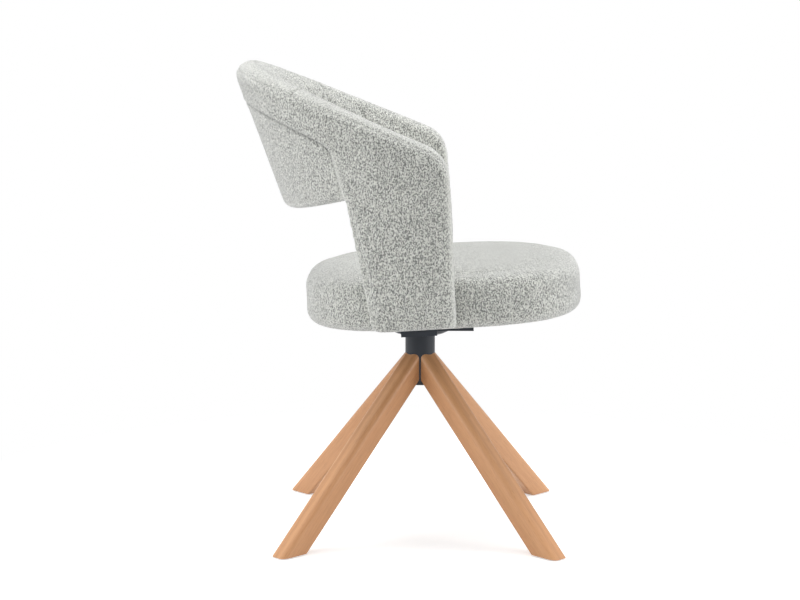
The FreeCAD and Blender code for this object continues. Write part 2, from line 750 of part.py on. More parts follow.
class Section:
    """One upright cut through the back: along its outer face, and inwards square to that face."""

    def __init__(self, angle, run_past=0.0):
        """angle is from the rear middle; run_past is how far the arm runs straight on."""
        self.turn = math.radians(angle)
        self.hand = 1 if angle >= 0 else -1
        radius = size("back_half_width")
        front = math.tan(math.radians(size("back_front_lean")))
        rear = math.tan(math.radians(size("back_lean")))
        across = abs(math.sin(self.turn))
        self.normal = V(math.sin(self.turn), math.cos(self.turn), 0)
        centre = V(0, size("back_centre") - run_past, size("back_level"))
        self.base = centre + self.normal * radius
        taper = math.tan(math.radians(size("back_side_taper"))) * across
        lean = front + (rear - front) * math.cos(self.turn)
        self.along = V(self.hand * taper * across, lean, 1).normalize()
        inward = self.normal * -1
        self.inward = (inward - self.along * inward.dot(self.along)).normalize()
        self.pinch = 0.0
        self.drop = 0.0

    def at(self, depth, distance):
        """The point this far under the outer face, this far along it from the reference level."""
        return self.base + self.along * distance + self.inward * depth

    def reach(self, height, depth=0.0):
        """How far along the face a height lies, for a point this deep."""
        return (height - self.base.z - depth * self.inward.z) / self.along.z

    def level_point(self, depth):
        """The point on the reference level that lies this deep under the outer face."""
        return self.at(depth, self.reach(self.base.z, depth))

    def crown(self):
        """Distance along the face to the centre of the rolled top edge."""
        roll = size("back_thickness") / 2
        slope = math.tan(math.radians(size("crest_slope")))
        forward = size("crest_rear_depth") - self.base.y - roll * self.inward.y
        level = size("crest_rear_height") - slope * forward - self.base.z - roll * self.inward.z - roll
        return level / (self.along.z - slope * self.along.y) - self.drop

    def share(self):
        """0 at the rear middle, growing towards the sides."""
        return 1 - math.cos(self.turn)

    def roll_points(self, inset):
        """The rolled top edge, from the outer face over to the inner face."""
        roll = size("back_thickness") / 2
        radius = roll - inset - self.pinch
        steps = [math.pi * number / ROLL_STEPS for number in range(ROLL_STEPS + 1)]
        centre = self.crown()
        return [self.at(roll - radius * math.cos(step), centre + radius * math.sin(step))
                for step in steps]

    def corner_points(self, depth, distance, radius, first):
        """Three points round a lower corner, from one quarter turn to the next."""
        steps = [math.radians(first + turn) for turn in CORNER_TURNS]
        return [self.at(depth + radius * math.cos(step), distance + radius * math.sin(step))
                for step in steps]


def rear_outline(section, inset):
    """The back's section, from its lower outer corner up the outer face, over, and down again."""
    thick = size("back_thickness")
    corner = size("back_lower_round")
    foot = section.reach(size("back_lower_height") + size("back_lower_rise") * section.share()) + corner
    seam = section.reach(size("seam_rear_height") - size("seam_fall") * section.share())
    outer = section.corner_points(corner, foot, corner - inset, OUTER_CORNER)[::-1]
    inner = section.corner_points(thick - corner, foot, corner - inset, INNER_CORNER)[::-1]
    return outer + [section.at(inset, seam)] + section.roll_points(inset) + inner


def arm_outline(section, inset):
    """The arm's section above the reference level."""
    edge = inset + section.pinch
    thick = size("back_thickness")
    return [section.level_point(edge)] + section.roll_points(inset) + [section.level_point(thick - edge)]


def panel_outline(section, inset):
    """The side panel's section below the reference level, down to its foot."""
    edge = inset + section.pinch
    thick = size("side_thickness")
    corner = size("side_edge_round") - inset
    outer_top = section.level_point(edge)
    inner_top = section.level_point(size("back_thickness") - edge)
    rise = section.base - section.foot
    lift = rise * (inset / rise.z)
    outer_foot = section.foot - section.normal * edge + lift
    inner_foot = section.foot - section.normal * (thick - edge) + lift
    inwards = section.normal * -min(corner, thick / 2 - edge - 1)
    waist = (size("side_waist_height") - section.foot.z) / rise.z
    inner_waist = section.foot + rise * waist - section.normal * (thick - edge)
    outer_rise = (outer_top - outer_foot).normalize() * corner
    inner_rise = (inner_waist - inner_foot).normalize() * corner
    return [outer_top, outer_foot + outer_rise, outer_foot + inwards,
            inner_foot - inwards, inner_foot + inner_rise, inner_waist, inner_top]


def loft(outlines):
    """A solid through closed outlines of straight lines."""
    wires = [Part.makePolygon(corners + corners[:1]) for corners in outlines]
    return Part.makeLoft(wires, True, True)


def strip(section, outline, first, last):
    """The section of one cover piece: its stretch of the surface and of the line under it."""
    outer = outline(section, 0)
    inner = outline(section, size("cover_thickness"))
    numbers = [number % len(outer) for number in range(first, last + 1)]
    return [outer[number] for number in numbers] + [inner[number] for number in reversed(numbers)]


def cover(sections, outline, first, last):
    """One sewn piece of cover along a row of sections."""
    return loft([strip(section, outline, first, last) for section in sections])


def rear_sections():
    """Sections across the rear of the back, between the two side panels."""
    end = size("side_start")
    return [Section(end * number / REAR_STEPS) for number in range(-REAR_STEPS, REAR_STEPS + 1)]


def side_sections(hand, first, last):
    """Sections along one side panel, which stop the given lengths short of its two edges."""
    start = math.radians(size("side_start"))
    radius = size("back_half_width")
    arc = (math.pi / 2 - start) * radius
    run = side_run()
    corner = size("arm_corner_round")
    edge = size("side_edge_round")
    skin = size("cover_thickness")
    middle = [skin, arc / 3, arc * 2 / 3, run - corner, run - corner / 2, run - edge, run - skin]
    runs = [distance for distance in middle if first < distance < run - last]
    sections = []
    for distance in [first] + runs + [run - last]:
        turn = min(distance, arc) / radius + start
        section = Section(hand * math.degrees(turn), max(distance - arc, 0))
        into_corner = max(distance - (run - corner), 0)
        section.drop = corner - math.sqrt(corner ** 2 - into_corner ** 2)
        into_edge = max(distance - (run - edge), 0)
        section.pinch = edge - math.sqrt(edge ** 2 - into_edge ** 2)
        share = distance / run
        foot_y = (1 - share) * size("side_rear_foot") + share * size("side_front_foot")
        foot_z = (1 - share) * size("side_foot_rear_height") + share * size("side_foot_front_height")
        foot_x = radius - (size("back_level") - foot_z) * math.tan(math.radians(size("back_side_taper")))
        foot_x -= size("side_foot_curve") * (1 - share) ** 2
        section.foot = V(hand * foot_x, foot_y, foot_z)
        sections.append(section)
    return sections


def side_run():
    """Length of a side panel round the back's plan, from its rear edge to its front edge."""
    arc = (math.pi / 2 - math.radians(size("side_start"))) * size("back_half_width")
    return arc + size("back_centre") - size("side_front")


def make_hoop_path():
    """The bent line of the steel hoop: up one side, round the rear, and down the other."""
    half = size(HOOP_HALF_WIDTH)
    slope = math.radians(size("crest_slope"))
    rear = V(0, size(HOOP_REAR), size(HOOP_LEVEL))
    rearwards = V(0, math.cos(slope), math.sin(slope))
    start = rear - rearwards * half
    knee_y = size("side_front + hoop_front_inset")
    knee = start - rearwards * ((start.y - knee_y) / math.cos(slope))
    foot = V(0, knee.y, size("hoop_foot_height"))
    bend = size("hoop_bend")
    opening = (math.pi / 2 - slope) / 2
    down = V(0, 0, -1)
    reach = bend * math.tan(opening)
    before = knee + down * reach
    after = knee + rearwards * reach
    inwards = (down + rearwards).normalize()
    middle = knee + inwards * (bend / math.cos(opening) - bend)

    def place(point, hand):
        return V(hand * half, point.y, point.z)

    def side(hand):
        return [Part.LineSegment(place(foot, hand), place(before, hand)).toShape(),
                Part.Arc(place(before, hand), place(middle, hand), place(after, hand)).toShape(),
                Part.LineSegment(place(after, hand), place(start, hand)).toShape()]

    arc = Part.Arc(place(start, -1), rear, place(start, 1)).toShape()
    return Part.Wire(side(-1) + [arc] + side(1)[::-1]), place(foot, -1)


def hoop_sweep(radius):
    """A round bar along the hoop's line."""
    path, foot = make_hoop_path()
    ring = Part.Wire([Part.Circle(foot, V(0, 0, 1), radius).toShape()])
    return path.makePipeShell([ring], True, False)


def make_back():
    """The hoop, the foam round it and the sewn cover."""
    skin = size("cover_thickness")
    outer_radius = size("hoop_diameter") / 2
    bar = hoop_sweep(outer_radius)
    solid_node("back_hoop", bar.cut(hoop_sweep(outer_radius - size("hoop_wall"))))
    rear = rear_sections()
    foam = loft([rear_outline(section, skin) for section in rear])
    solid_node("back_foam", foam.cut(bar))
    seam = 3
    crest = seam + 1 + ROLL_SEAM
    whole = len(rear_outline(rear[0], 0))
    solid_node("rear_panel_cover", cover(rear, rear_outline, 0, seam))
    outer = cover(rear, rear_outline, seam, crest)
    solid_node("inner_back_cover", cover(rear, rear_outline, crest, whole))
    for name, hand in (("right", -1), ("left", 1)):
        sides = side_sections(hand, 0, 0)
        run = side_run()
        arm = loft([arm_outline(section, skin) for section in side_sections(hand, 0, skin)])
        panel = loft([panel_outline(section, skin) for section in side_sections(hand, skin, skin)])
        bracket = doc.getObject(f"side_bracket_{name}").Shape
        solid_node(f"side_foam_{name}", arm.fuse(panel).cut(bar).cut(bracket))
        upper = cover(sides, arm_outline, 0, 1 + ROLL_SEAM)
        lower = cover(sides, panel_outline, 0, 3)
        front = side_sections(hand, run - skin, 0)
        front_arm = loft([arm_outline(section, 0) for section in front])
        front_panel = loft([panel_outline(section, 0) for section in front])
        rear_edge = loft([panel_outline(section, 0) for section in side_sections(hand, 0, run - skin)])
        edges = [upper, lower, front_arm, front_panel, rear_edge]
        upper = cover(sides, arm_outline, 1 + ROLL_SEAM, 2 + ROLL_STEPS)
        inner = upper.fuse(cover(sides, panel_outline, 3, 6)).cut(bracket)
        for piece in edges:
            outer = outer.fuse(piece)
        outer = outer.cut(bracket)
        for piece in (front_arm, front_panel, rear_edge):
            inner = inner.cut(piece)
        solid_node(f"inner_arm_cover_{name}", inner)
    solid_node("outer_cover", outer)


def make_all():
    """Every piece of the chair."""
    for place, angle in LEG_ANGLES.items():
        make_leg(f"leg_{place}", angle)
        make_glide(f"glide_{place}", angle)
    make_column()
    make_leg_fasteners()
    make_column_cap()
    make_sleeve()
    make_bushes()
    make_thrust_bearing()
    make_spindle()
    make_retainer()
    make_housing()
    make_swivel_plate()
    make_seat_board()
    make_seat_upholstery()
    make_bracket("side_bracket_right", -1)
    make_bracket("side_bracket_left", 1)
    make_back()


def check_and_write():
    """Stops if any object failed or any shape is unsound, and writes one file for each piece."""
    doc.recompute()
    for item in doc.Objects:
        if "Invalid" in item.State or "Error" in item.State:
            raise RuntimeError(f"{item.Label} failed: {item.State}")
    pieces = [item for item in doc.Objects if item.TypeId in ("PartDesign::Body", "Part::Feature")]
    for item in pieces:
        if item.Shape.isNull() or not item.Shape.isValid():
            raise RuntimeError(f"{item.Label} has an unsound shape")
    os.makedirs("parts", exist_ok=True)
    for item in pieces:
        item.Shape.exportStep(os.path.join("parts", f"{item.Label}.step"))
    print(f"{len(pieces)} pieces written")


make_all()
check_and_write()
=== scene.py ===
import json
import math

import bmesh
import bpy
import numpy as np
from mathutils import Matrix, Vector
from mathutils.kdtree import KDTree


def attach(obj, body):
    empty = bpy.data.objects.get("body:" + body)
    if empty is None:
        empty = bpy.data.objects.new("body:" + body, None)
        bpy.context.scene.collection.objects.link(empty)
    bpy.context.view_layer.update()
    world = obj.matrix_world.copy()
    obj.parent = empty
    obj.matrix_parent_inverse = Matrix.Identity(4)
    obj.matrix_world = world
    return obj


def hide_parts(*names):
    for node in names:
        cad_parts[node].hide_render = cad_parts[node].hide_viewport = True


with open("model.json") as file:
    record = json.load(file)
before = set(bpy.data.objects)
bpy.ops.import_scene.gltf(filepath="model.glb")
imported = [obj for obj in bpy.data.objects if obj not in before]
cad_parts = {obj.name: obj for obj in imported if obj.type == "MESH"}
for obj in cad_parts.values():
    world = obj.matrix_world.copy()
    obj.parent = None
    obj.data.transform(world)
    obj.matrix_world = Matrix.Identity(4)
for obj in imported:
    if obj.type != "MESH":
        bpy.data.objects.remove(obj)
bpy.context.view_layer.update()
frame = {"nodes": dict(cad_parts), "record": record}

# Sizes of the upholstery, in metres, the same as those of the frame that it covers
BACK_RADIUS = 0.2875
BACK_CENTRE = -0.038
BACK_LEVEL = 0.600
BACK_LEAN = math.tan(math.radians(20.0))
FRONT_LEAN = math.tan(math.radians(3.7))
SIDE_TAPER = math.tan(math.radians(3.0))
BACK_THICKNESS = 0.054
CREST_HEIGHT = 0.832
CREST_REAR = 0.290
CREST_SLOPE = math.tan(math.radians(22.8))
LOWER_HEIGHT = 0.5695
LOWER_RISE = 0.079
LOWER_ROUND = 0.020
SEAM_HEIGHT = 0.762
SEAM_FALL = 0.155
SIDE_START = math.radians(55.5)
SIDE_THICKNESS = 0.0385
SIDE_FRONT = -0.053
FOOT_FRONT = -0.0625
FOOT_REAR = 0.082
FOOT_REAR_HEIGHT = 0.389
FOOT_FRONT_HEIGHT = 0.399
FOOT_CURVE = 0.012
FOOT_ROUND = 0.014
FOOT_LIFT = 0.014
ARM_CORNER = 0.034
FRONT_ROUND = 0.013
REAR_ROUND = 0.007
PANEL_SINK = 0.0015
INNER_SEAM = math.radians(44.0)
CREST_SEAM = math.radians(135.0)
ROLL_POWER = 2.25
THICKENS_FROM = 0.35
SIDE_OVERLAP = 0.012
EDGE_START = 0.0008
LEAST = 0.001

# Its seams, with painted shade along them, and its turned edges, with a painted highlight along them
REAR_SEAM_DEPTH = 0.0024
CREST_SEAM_DEPTH = 0.0012
INNER_SEAM_DEPTH = 0.0020
SEAM_WIDTH = 0.0022
SEAM_END = 0.030
SEAM_END_POWER = 60
SEAM_SHORT = 0.003
SEAM_UNDER = 0.001
SEAM_ABOVE = 0.002
SEAM_BELOW = 0.004
CREST_SHORT = 0.012
# Painted shade along the seams: how far it spreads, and how dark it is on each seam
SEAM_SHADE_SPREAD = 0.75
REAR_SEAM_SHADE = 1.0
PANEL_SEAM_SHADE = (0.6, 0.1)
INNER_SEAM_SHADE = 0.6
INNER_SEAM_SHADE_ABOVE = 0.4
CREST_SEAM_SHADE = 0.45
CREST_SHADE_FROM = 0.36
CREST_SHADE_FADE = 0.02
# Where the painted highlights run along the turned edges, and how wide and strong they are
CREST_MIDDLE = math.radians(100.0)
EDGE_PARTS = 12
HIGHLIGHT_STEP = 0.002
EDGE_TOP = 0.685
EDGE_HIGHLIGHT_WIDTH = 0.0065
CREST_HIGHLIGHT_WIDTH = 0.012
EDGE_HIGHLIGHT = 0.60
CREST_HIGHLIGHT = 0.32

# Sizes of the seat
SEAT_FORWARD = 0.043
SEAT_UNDER = 0.3908
SEAT_TILT = math.radians(3.07)
SEAT_HALF_WIDTH = 0.2335
SEAT_HALF_LENGTH = 0.24325
SEAT_POWER = 2.84
SEAT_EDGE = 0.0905
SEAT_CROWN = 0.015
SEAT_CROWN_POWER = 2.8
SEAT_TOP_ROUND = 0.026
SEAT_LOW_ROUND = 0.023
SEAT_SEAM = 0.0755
COVER_RETURN = 0.038
SEAT_SEAM_DEPTH = 0.0004
LINING_INSET = 0.036
LINING_THICKNESS = 0.0008
LINING_GAP = 0.0006
LINING_PUCKER = 0.0004
LINING_FADE = 0.012
LINING_STAPLES = 44

# How the padding is made
VOXEL = 0.0042
EVEN_OUT = 0.5
EVEN_TIMES = 3
START_INSET = 0.0025
SWELL_CAP = 0.002
SWELL_FRAMES = 14
SWELL_PRESSURE = 4.0
COVER_QUALITY = 4
COVER_MASS = 0.4
COVER_STIFFNESS = 25.0
COVER_BENDING = 1.0
STEADY_UNDER = 0.008
STEADY_FADE = 0.03
BULGE = 0.004
REACH_UNDER = 0.012

# How finely the forms are drawn
CORNER_STEPS = 6
EDGE_STEPS = 8
FOOT_STEPS = 5
ROLL_STEPS = 19
FACE_STEPS = 14
SIDE_STEPS = 16
REAR_SECTIONS = 40
SIDE_SECTIONS = 46
SEAT_SECTIONS = 160
SEAT_RINGS = 18
SEAM_POINTS = 1200
SEAM_STEP = 0.0015
LINE_POINTS = 60
LINING_RINGS = 40
LINING_POINTS = 480

# Colours and lights
BOUCLE_LIGHT = (0.72, 0.725, 0.676)
BOUCLE_DARK = (0.195, 0.20, 0.188)
# Colour of the painted shade along the seams, and how much of it is mixed in
BOUCLE_SEAM_SHADE = (0.15, 0.15, 0.148)
BOUCLE_BUMP = 0.8
BOUCLE_RELIEF = 0.0022
SEAM_SHADE = 0.75
CURL_STRETCH = (1.38, 1.38, 0.95)
CURL_WANDER = 0.0036
CURL_SCALE = 340.0
YARN_SCALE = 330.0
PATCH_SCALE = 40.0
FUZZ_SCALE = 1100.0
BEECH_LIGHT = (0.575, 0.297, 0.138)
BEECH_DARK = (0.450, 0.215, 0.092)
BEECH_PORE = (0.30, 0.14, 0.06)
GRAIN_STRETCH = (0.06, 1.0, 1.0)
RING_PITCH = 330.0
RING_WANDER = 16.0
WANDER_SCALE = 14.0
FIBRE_SCALE = 420.0
PORE_SCALE = 900.0
LEG_PITCH = math.radians(44.6)
LEG_TURNS = {"leg_front_right": 225, "leg_rear_right": 135, "leg_rear_left": 45, "leg_front_left": -45}
STEEL_COAT = (0.016, 0.021, 0.029)
BRIGHT_STEEL = (0.60, 0.61, 0.63)
BLACK_PLASTIC = (0.022, 0.022, 0.024)
LINING_BLACK = (0.018, 0.018, 0.02)
FLOOR_SIZE = 40.0
FLOOR_GREY = 0.80
FLOOR_GLOW = 0.46
WHITE_FROM = 0.45
WHITE_TO = 1.0
WORLD_COLOUR = (0.97, 0.98, 0.99)
WORLD_LIGHT = 0.56
LAMPS = [
    ("top", (0.5, 0.1, 3.2), (0.0, 0.0, 0.5), 2.6, 110.0),
    ("rear", (-0.6, 3.0, 1.4), (0.0, 0.0, 0.6), 1.8, 54.0),
    ("front", (-0.6, -3.0, 1.2), (0.0, 0.0, 0.5), 1.8, 52.0),
]
CAMERA_PLACE = (-3.4056, -0.0234, 0.9261)
CAMERA_TURN = math.radians(1.0)
CAMERA_TILT = math.radians(8.65)
CAMERA_LENS = 86.85
CAMERA_SENSOR = 36.0


# Meshes

def grid_faces(rows, columns):
    """Corner numbers of the four-sided faces of a grid whose rows are closed loops, as one array."""
    first, second = np.meshgrid(np.arange(rows - 1), np.arange(columns), indexing="ij")
    down = first + 1
    right = (second + 1) % columns
    corners = [first * columns + second, first * columns + right,
               down * columns + right, down * columns + second]
    return np.stack([corner.ravel() for corner in corners], axis=1)


def new_mesh(name, points, faces):
    """A mesh object from an array of points and a list of faces."""
    mesh = bpy.data.meshes.new(name)
    places = np.asarray(points, float).reshape(-1, 3).tolist()
    mesh.from_pydata(places, [], [list(map(int, face)) for face in faces])
    mesh.validate()
    piece = bpy.data.objects.new(name, mesh)
    bpy.context.scene.collection.objects.link(piece)
    return piece


def closed_tube(name, loops):
    """A closed form from a row of closed loops: their grid, and a fan to the middle at each end."""
    rows, columns = loops.shape[:2]
    ends = np.stack([loops[0].mean(axis=0), loops[-1].mean(axis=0)])
    points = np.concatenate([loops.reshape(-1, 3), ends])
    around = np.arange(columns)
    following = (around + 1) % columns
    first = np.stack([np.full(columns, rows * columns), following, around], axis=1)
    last_row = (rows - 1) * columns
    far_middle = np.full(columns, rows * columns + 1)
    last = np.stack([far_middle, last_row + around, last_row + following], axis=1)
    grid = grid_faces(rows, columns)
    return new_mesh(name, points, grid.tolist() + first.tolist() + last.tolist())


def read_points(mesh):
    """The mesh's points as an array."""
    values = np.empty(len(mesh.vertices) * 3, np.float32)
    mesh.vertices.foreach_get("co", values)
    return values.reshape(-1, 3).astype(float)


def read_normals(mesh):
    """The mesh's point normals as an array."""
    values = np.empty(len(mesh.vertices) * 3, np.float32)
    mesh.vertex_normals.foreach_get("vector", values)
    return values.reshape(-1, 3).astype(float)


def write_points(mesh, points):
    """Moves the mesh's points to an array of places."""
    mesh.vertices.foreach_set("co", np.asarray(points, np.float32).ravel())
    mesh.update()


def face_outwards(piece):
    """All faces turned outwards."""
    work = bmesh.new()
    work.from_mesh(piece.data)
    bmesh.ops.remove_doubles(work, verts=work.verts, dist=1e-6)
    bmesh.ops.recalc_face_normals(work, faces=work.faces)
    work.to_mesh(piece.data)
    work.free()


def apply_modifiers(piece):
    """The piece's mesh as its modifiers leave it, with no modifier left."""
    graph = bpy.context.evaluated_depsgraph_get()
    graph.update()
    mesh = bpy.data.meshes.new_from_object(piece.evaluated_get(graph))
    piece.modifiers.clear()
    piece.data = mesh


def remesh(piece):
    """The piece as one skin of even squares, with the steps that they leave evened out."""
    modifier = piece.modifiers.new("Even squares", "REMESH")
    modifier.mode = "VOXEL"
    modifier.voxel_size = VOXEL
    modifier.use_smooth_shade = True
    apply_modifiers(piece)
    modifier = piece.modifiers.new("Even out", "SMOOTH")
    modifier.factor = EVEN_OUT
    modifier.iterations = EVEN_TIMES
    apply_modifiers(piece)


def subdivide(piece):
    """One level of smooth subdivision."""
    modifier = piece.modifiers.new("Finer", "SUBSURF")
    modifier.levels = 1
    modifier.render_levels = 1
    apply_modifiers(piece)


def swell(piece, share=1.0):
    """The cover puffed out by the foam: cloth under a little inner pressure.

    Each point ends at start + normal * inset + share * sway, where sway is the part of the cloth's movement
    that is left after its mean along the normal is taken off, and is no longer than the cap.
    """
    start = read_points(piece.data)
    normals = read_normals(piece.data)
    moved = np.zeros_like(start)
    scene = bpy.context.scene
    cloth = piece.modifiers.new("Cover", "CLOTH")
    cloth.settings.quality = COVER_QUALITY
    cloth.settings.mass = COVER_MASS
    cloth.settings.tension_stiffness = COVER_STIFFNESS
    cloth.settings.compression_stiffness = COVER_STIFFNESS
    cloth.settings.bending_stiffness = COVER_BENDING
    cloth.settings.use_pressure = True
    cloth.settings.uniform_pressure_force = SWELL_PRESSURE
    cloth.settings.effector_weights.gravity = 0.0
    cloth.collision_settings.use_collision = False
    cloth.point_cache.frame_start = 1
    cloth.point_cache.frame_end = SWELL_FRAMES
    for number in range(1, SWELL_FRAMES + 1):
        scene.frame_set(number)
    graph = bpy.context.evaluated_depsgraph_get()
    shaped = piece.evaluated_get(graph).to_mesh()
    moved = read_points(shaped) - start
    piece.evaluated_get(graph).to_mesh_clear()
    piece.modifiers.clear()
    scene.frame_set(1)
    outwards = (moved * normals).sum(axis=1)
    moved -= normals * outwards.mean()
    length = np.linalg.norm(moved, axis=1)
    moved *= (share * np.minimum(length, SWELL_CAP) / np.maximum(length, 1e-9))[:, None]
    write_points(piece.data, start + normals * START_INSET + moved)


def near_lines(points, normals, places):
    """Number of the place nearest to each point, and its distance from the point along the surface."""
    tree = KDTree(len(places))
    for number, place in enumerate(places):
        tree.insert(place, number)
    tree.balance()
    nearest = np.array([tree.find(point)[1] for point in points])
    apart = points - places[nearest]
    along = (apart * normals).sum(axis=1)
    distance = np.sqrt(np.maximum((apart ** 2).sum(axis=1) - along ** 2, 0))
    return nearest, np.where(np.abs(along) > REACH_UNDER, 1.0, distance)


def keep_values(mesh, name, values):
    """An attribute with one value for each point."""
    attribute = mesh.attributes.new(name, "FLOAT", "POINT")
    attribute.data.foreach_set("value", values.astype(np.float32))


def press_seams(piece, lines, width):
    """Pulls the cover in along its seams, and keeps the painted shade along them in an attribute.

    Each line is its points, its depth and its painted shade. A point moves along its normal by
    -depth * exp(-(d / width)^2) + depth / 4 * exp(-((d - 3 width) / (2 width))^2), where d is its distance
    from the nearest seam, measured along the surface. The attribute, the painted shade, is
    dark * exp(-(d / (SEAM_SHADE_SPREAD * width))^2).
    """
    points = read_points(piece.data)
    normals = read_normals(piece.data)
    depths = np.concatenate([np.full(len(line), depth) for line, depth, dark in lines])
    seam_shades = np.concatenate([dark + np.zeros(len(line)) for line, depth, dark in lines])
    nearest, distance = near_lines(points, normals, np.concatenate([line for line, depth, dark in lines]))
    shift = -np.exp(-(distance / width) ** 2)
    shift += np.exp(-((distance - 3 * width) / (2 * width)) ** 2) / 4
    write_points(piece.data, points + normals * (depths[nearest] * shift)[:, None])
    # The attribute "seam" holds the painted shade along the seams
    keep_values(piece.data, "seam", seam_shades[nearest] * np.exp(-(distance / (SEAM_SHADE_SPREAD * width)) ** 2))


def paint_edge_highlights(piece, lines):
    """Keeps a painted highlight along the turned edges, share * exp(-(d / width)^2), in an attribute.

    Each line is its points, its width and its share of painted highlight.
    """
    widths = np.concatenate([np.full(len(line), width) for line, width, share in lines])
    highlight_shares = np.concatenate([np.full(len(line), share) for line, width, share in lines])
    places = np.concatenate([line for line, width, share in lines])
    nearest, distance = near_lines(read_points(piece.data), read_normals(piece.data), places)
    keep_values(piece.data, "painted_highlight", highlight_shares[nearest] * np.exp(-(distance / widths[nearest]) ** 2))


def shade_smooth(piece):
    """Smooth shading on every face."""
    piece.data.polygons.foreach_set("use_smooth", [True] * len(piece.data.polygons))


# The back

def plan(run, hand):
    """The upright line of the back at each distance round its plan from the rear middle.

    The plan is a half circle of BACK_RADIUS about (0, BACK_CENTRE) that runs straight on to the front.
    Gives the point at BACK_LEVEL, the outward normal, the direction up the outer face and the one inwards
    square to it. The lean falls with the cosine of the turn, from BACK_LEAN to FRONT_LEAN.
    """
    run = np.asarray(run, float)
    quarter = math.pi / 2 * BACK_RADIUS
    turn = np.minimum(run, quarter) / BACK_RADIUS
    past = np.maximum(run - quarter, 0)
    zero = np.zeros_like(turn)
    normal = np.stack([hand * np.sin(turn), np.cos(turn), zero], axis=-1)
    base = np.stack([zero, BACK_CENTRE - past, zero + BACK_LEVEL], axis=-1) + normal * BACK_RADIUS
    lean = FRONT_LEAN + (BACK_LEAN - FRONT_LEAN) * np.cos(turn)
    along = np.stack([hand * SIDE_TAPER * np.sin(turn), lean, zero + 1], axis=-1)
    along /= np.linalg.norm(along, axis=-1, keepdims=True)
    inward = -normal
    inward = inward - along * (inward * along).sum(axis=-1, keepdims=True)
    inward /= np.linalg.norm(inward, axis=-1, keepdims=True)
    return base, normal, along, inward, turn


def crown(run, hand):
    """How far up the outer face the centre of the rolled top edge lies.

    The crest lies in a plane that falls to the front by CREST_SLOPE.
    """
    base, normal, along, inward, turn = plan(run, hand)
    roll = BACK_THICKNESS / 2
    forward = CREST_REAR - base[..., 1] - roll * inward[..., 1]
    level = CREST_HEIGHT - CREST_SLOPE * forward - base[..., 2] - roll * inward[..., 2] - roll
    return level / (along[..., 2] - CREST_SLOPE * along[..., 1])


def corner_drop(runs, length):
    """How far the crest lies lower in the rounded front corner: r - sqrt(r^2 - into^2)."""
    into_corner = np.maximum(runs - (length - ARM_CORNER), 0)
    return ARM_CORNER - np.sqrt(np.maximum(ARM_CORNER ** 2 - into_corner ** 2, 0))


def arc(first, last, count):
    """Angles in radians from one to the other, in degrees."""
    return np.radians(np.linspace(first, last, count))


def rolled(angle, radius):
    """Depth and height round the rolled top edge: a superellipse, fuller than a circle at its corners."""
    across, up = np.cos(angle), np.abs(np.sin(angle))
    power = 2 / ROLL_POWER
    return radius * np.sign(across) * np.abs(across) ** power, radius * up ** power


def rear_loops(runs, hand):
    """The closed section of the rear part at each run: a bar with a rolled top and round lower corners.

    Each point is base + along * distance + inward * depth. Below the seam the outer face lies PANEL_SINK
    deeper, and the inner face bulges by a sine of its height.
    """
    base, normal, along, inward, turn = plan(runs, hand)
    top = crown(runs, hand)[:, None]
    share = (1 - np.cos(turn))[:, None]
    rise = along[:, 2:3]
    foot = (LOWER_HEIGHT + LOWER_RISE * share - BACK_LEVEL) / rise
    seam = (SEAM_HEIGHT - SEAM_FALL * share - BACK_LEVEL) / rise
    thick, corner, inset = BACK_THICKNESS, LOWER_ROUND, START_INSET
    radius = corner - inset
    low = foot + corner
    a = arc(270, 180, CORNER_STEPS)[None, :]
    outer_corner = (corner + PANEL_SINK + radius * np.cos(a) + 0 * low, low + radius * np.sin(a))
    step = np.linspace(0, 1, EDGE_STEPS)[None, :]
    panel = (inset + PANEL_SINK + 0 * step * low, low + (seam - SEAM_BELOW - low) * step)
    band = (inset + 0 * step * low, seam + SEAM_ABOVE + (top - seam - SEAM_ABOVE) * step)
    across, up = rolled(arc(180, 0, ROLL_STEPS)[None, :], thick / 2 - inset)
    roll = (thick / 2 + across + 0 * low, top + up)
    step = np.linspace(0, 1, FACE_STEPS)[None, 1:-1]
    bulge = BULGE * np.sin(np.pi * step)
    inner = (thick - inset + bulge + 0 * low, top + (low - top) * step)
    a = arc(0, -90, CORNER_STEPS)[None, :]
    inner_corner = (thick - corner + radius * np.cos(a) + 0 * low, low + radius * np.sin(a))
    parts = (outer_corner, panel, band, roll, inner, inner_corner)
    depth = np.concatenate([part[0] for part in parts], axis=1)
    distance = np.concatenate([part[1] for part in parts], axis=1)
    return base[:, None] + along[:, None] * distance[..., None] + inward[:, None] * depth[..., None]


def side_length():
    """Length of a side panel round the plan."""
    return (math.pi / 2 - SIDE_START) * BACK_RADIUS + BACK_CENTRE - SIDE_FRONT


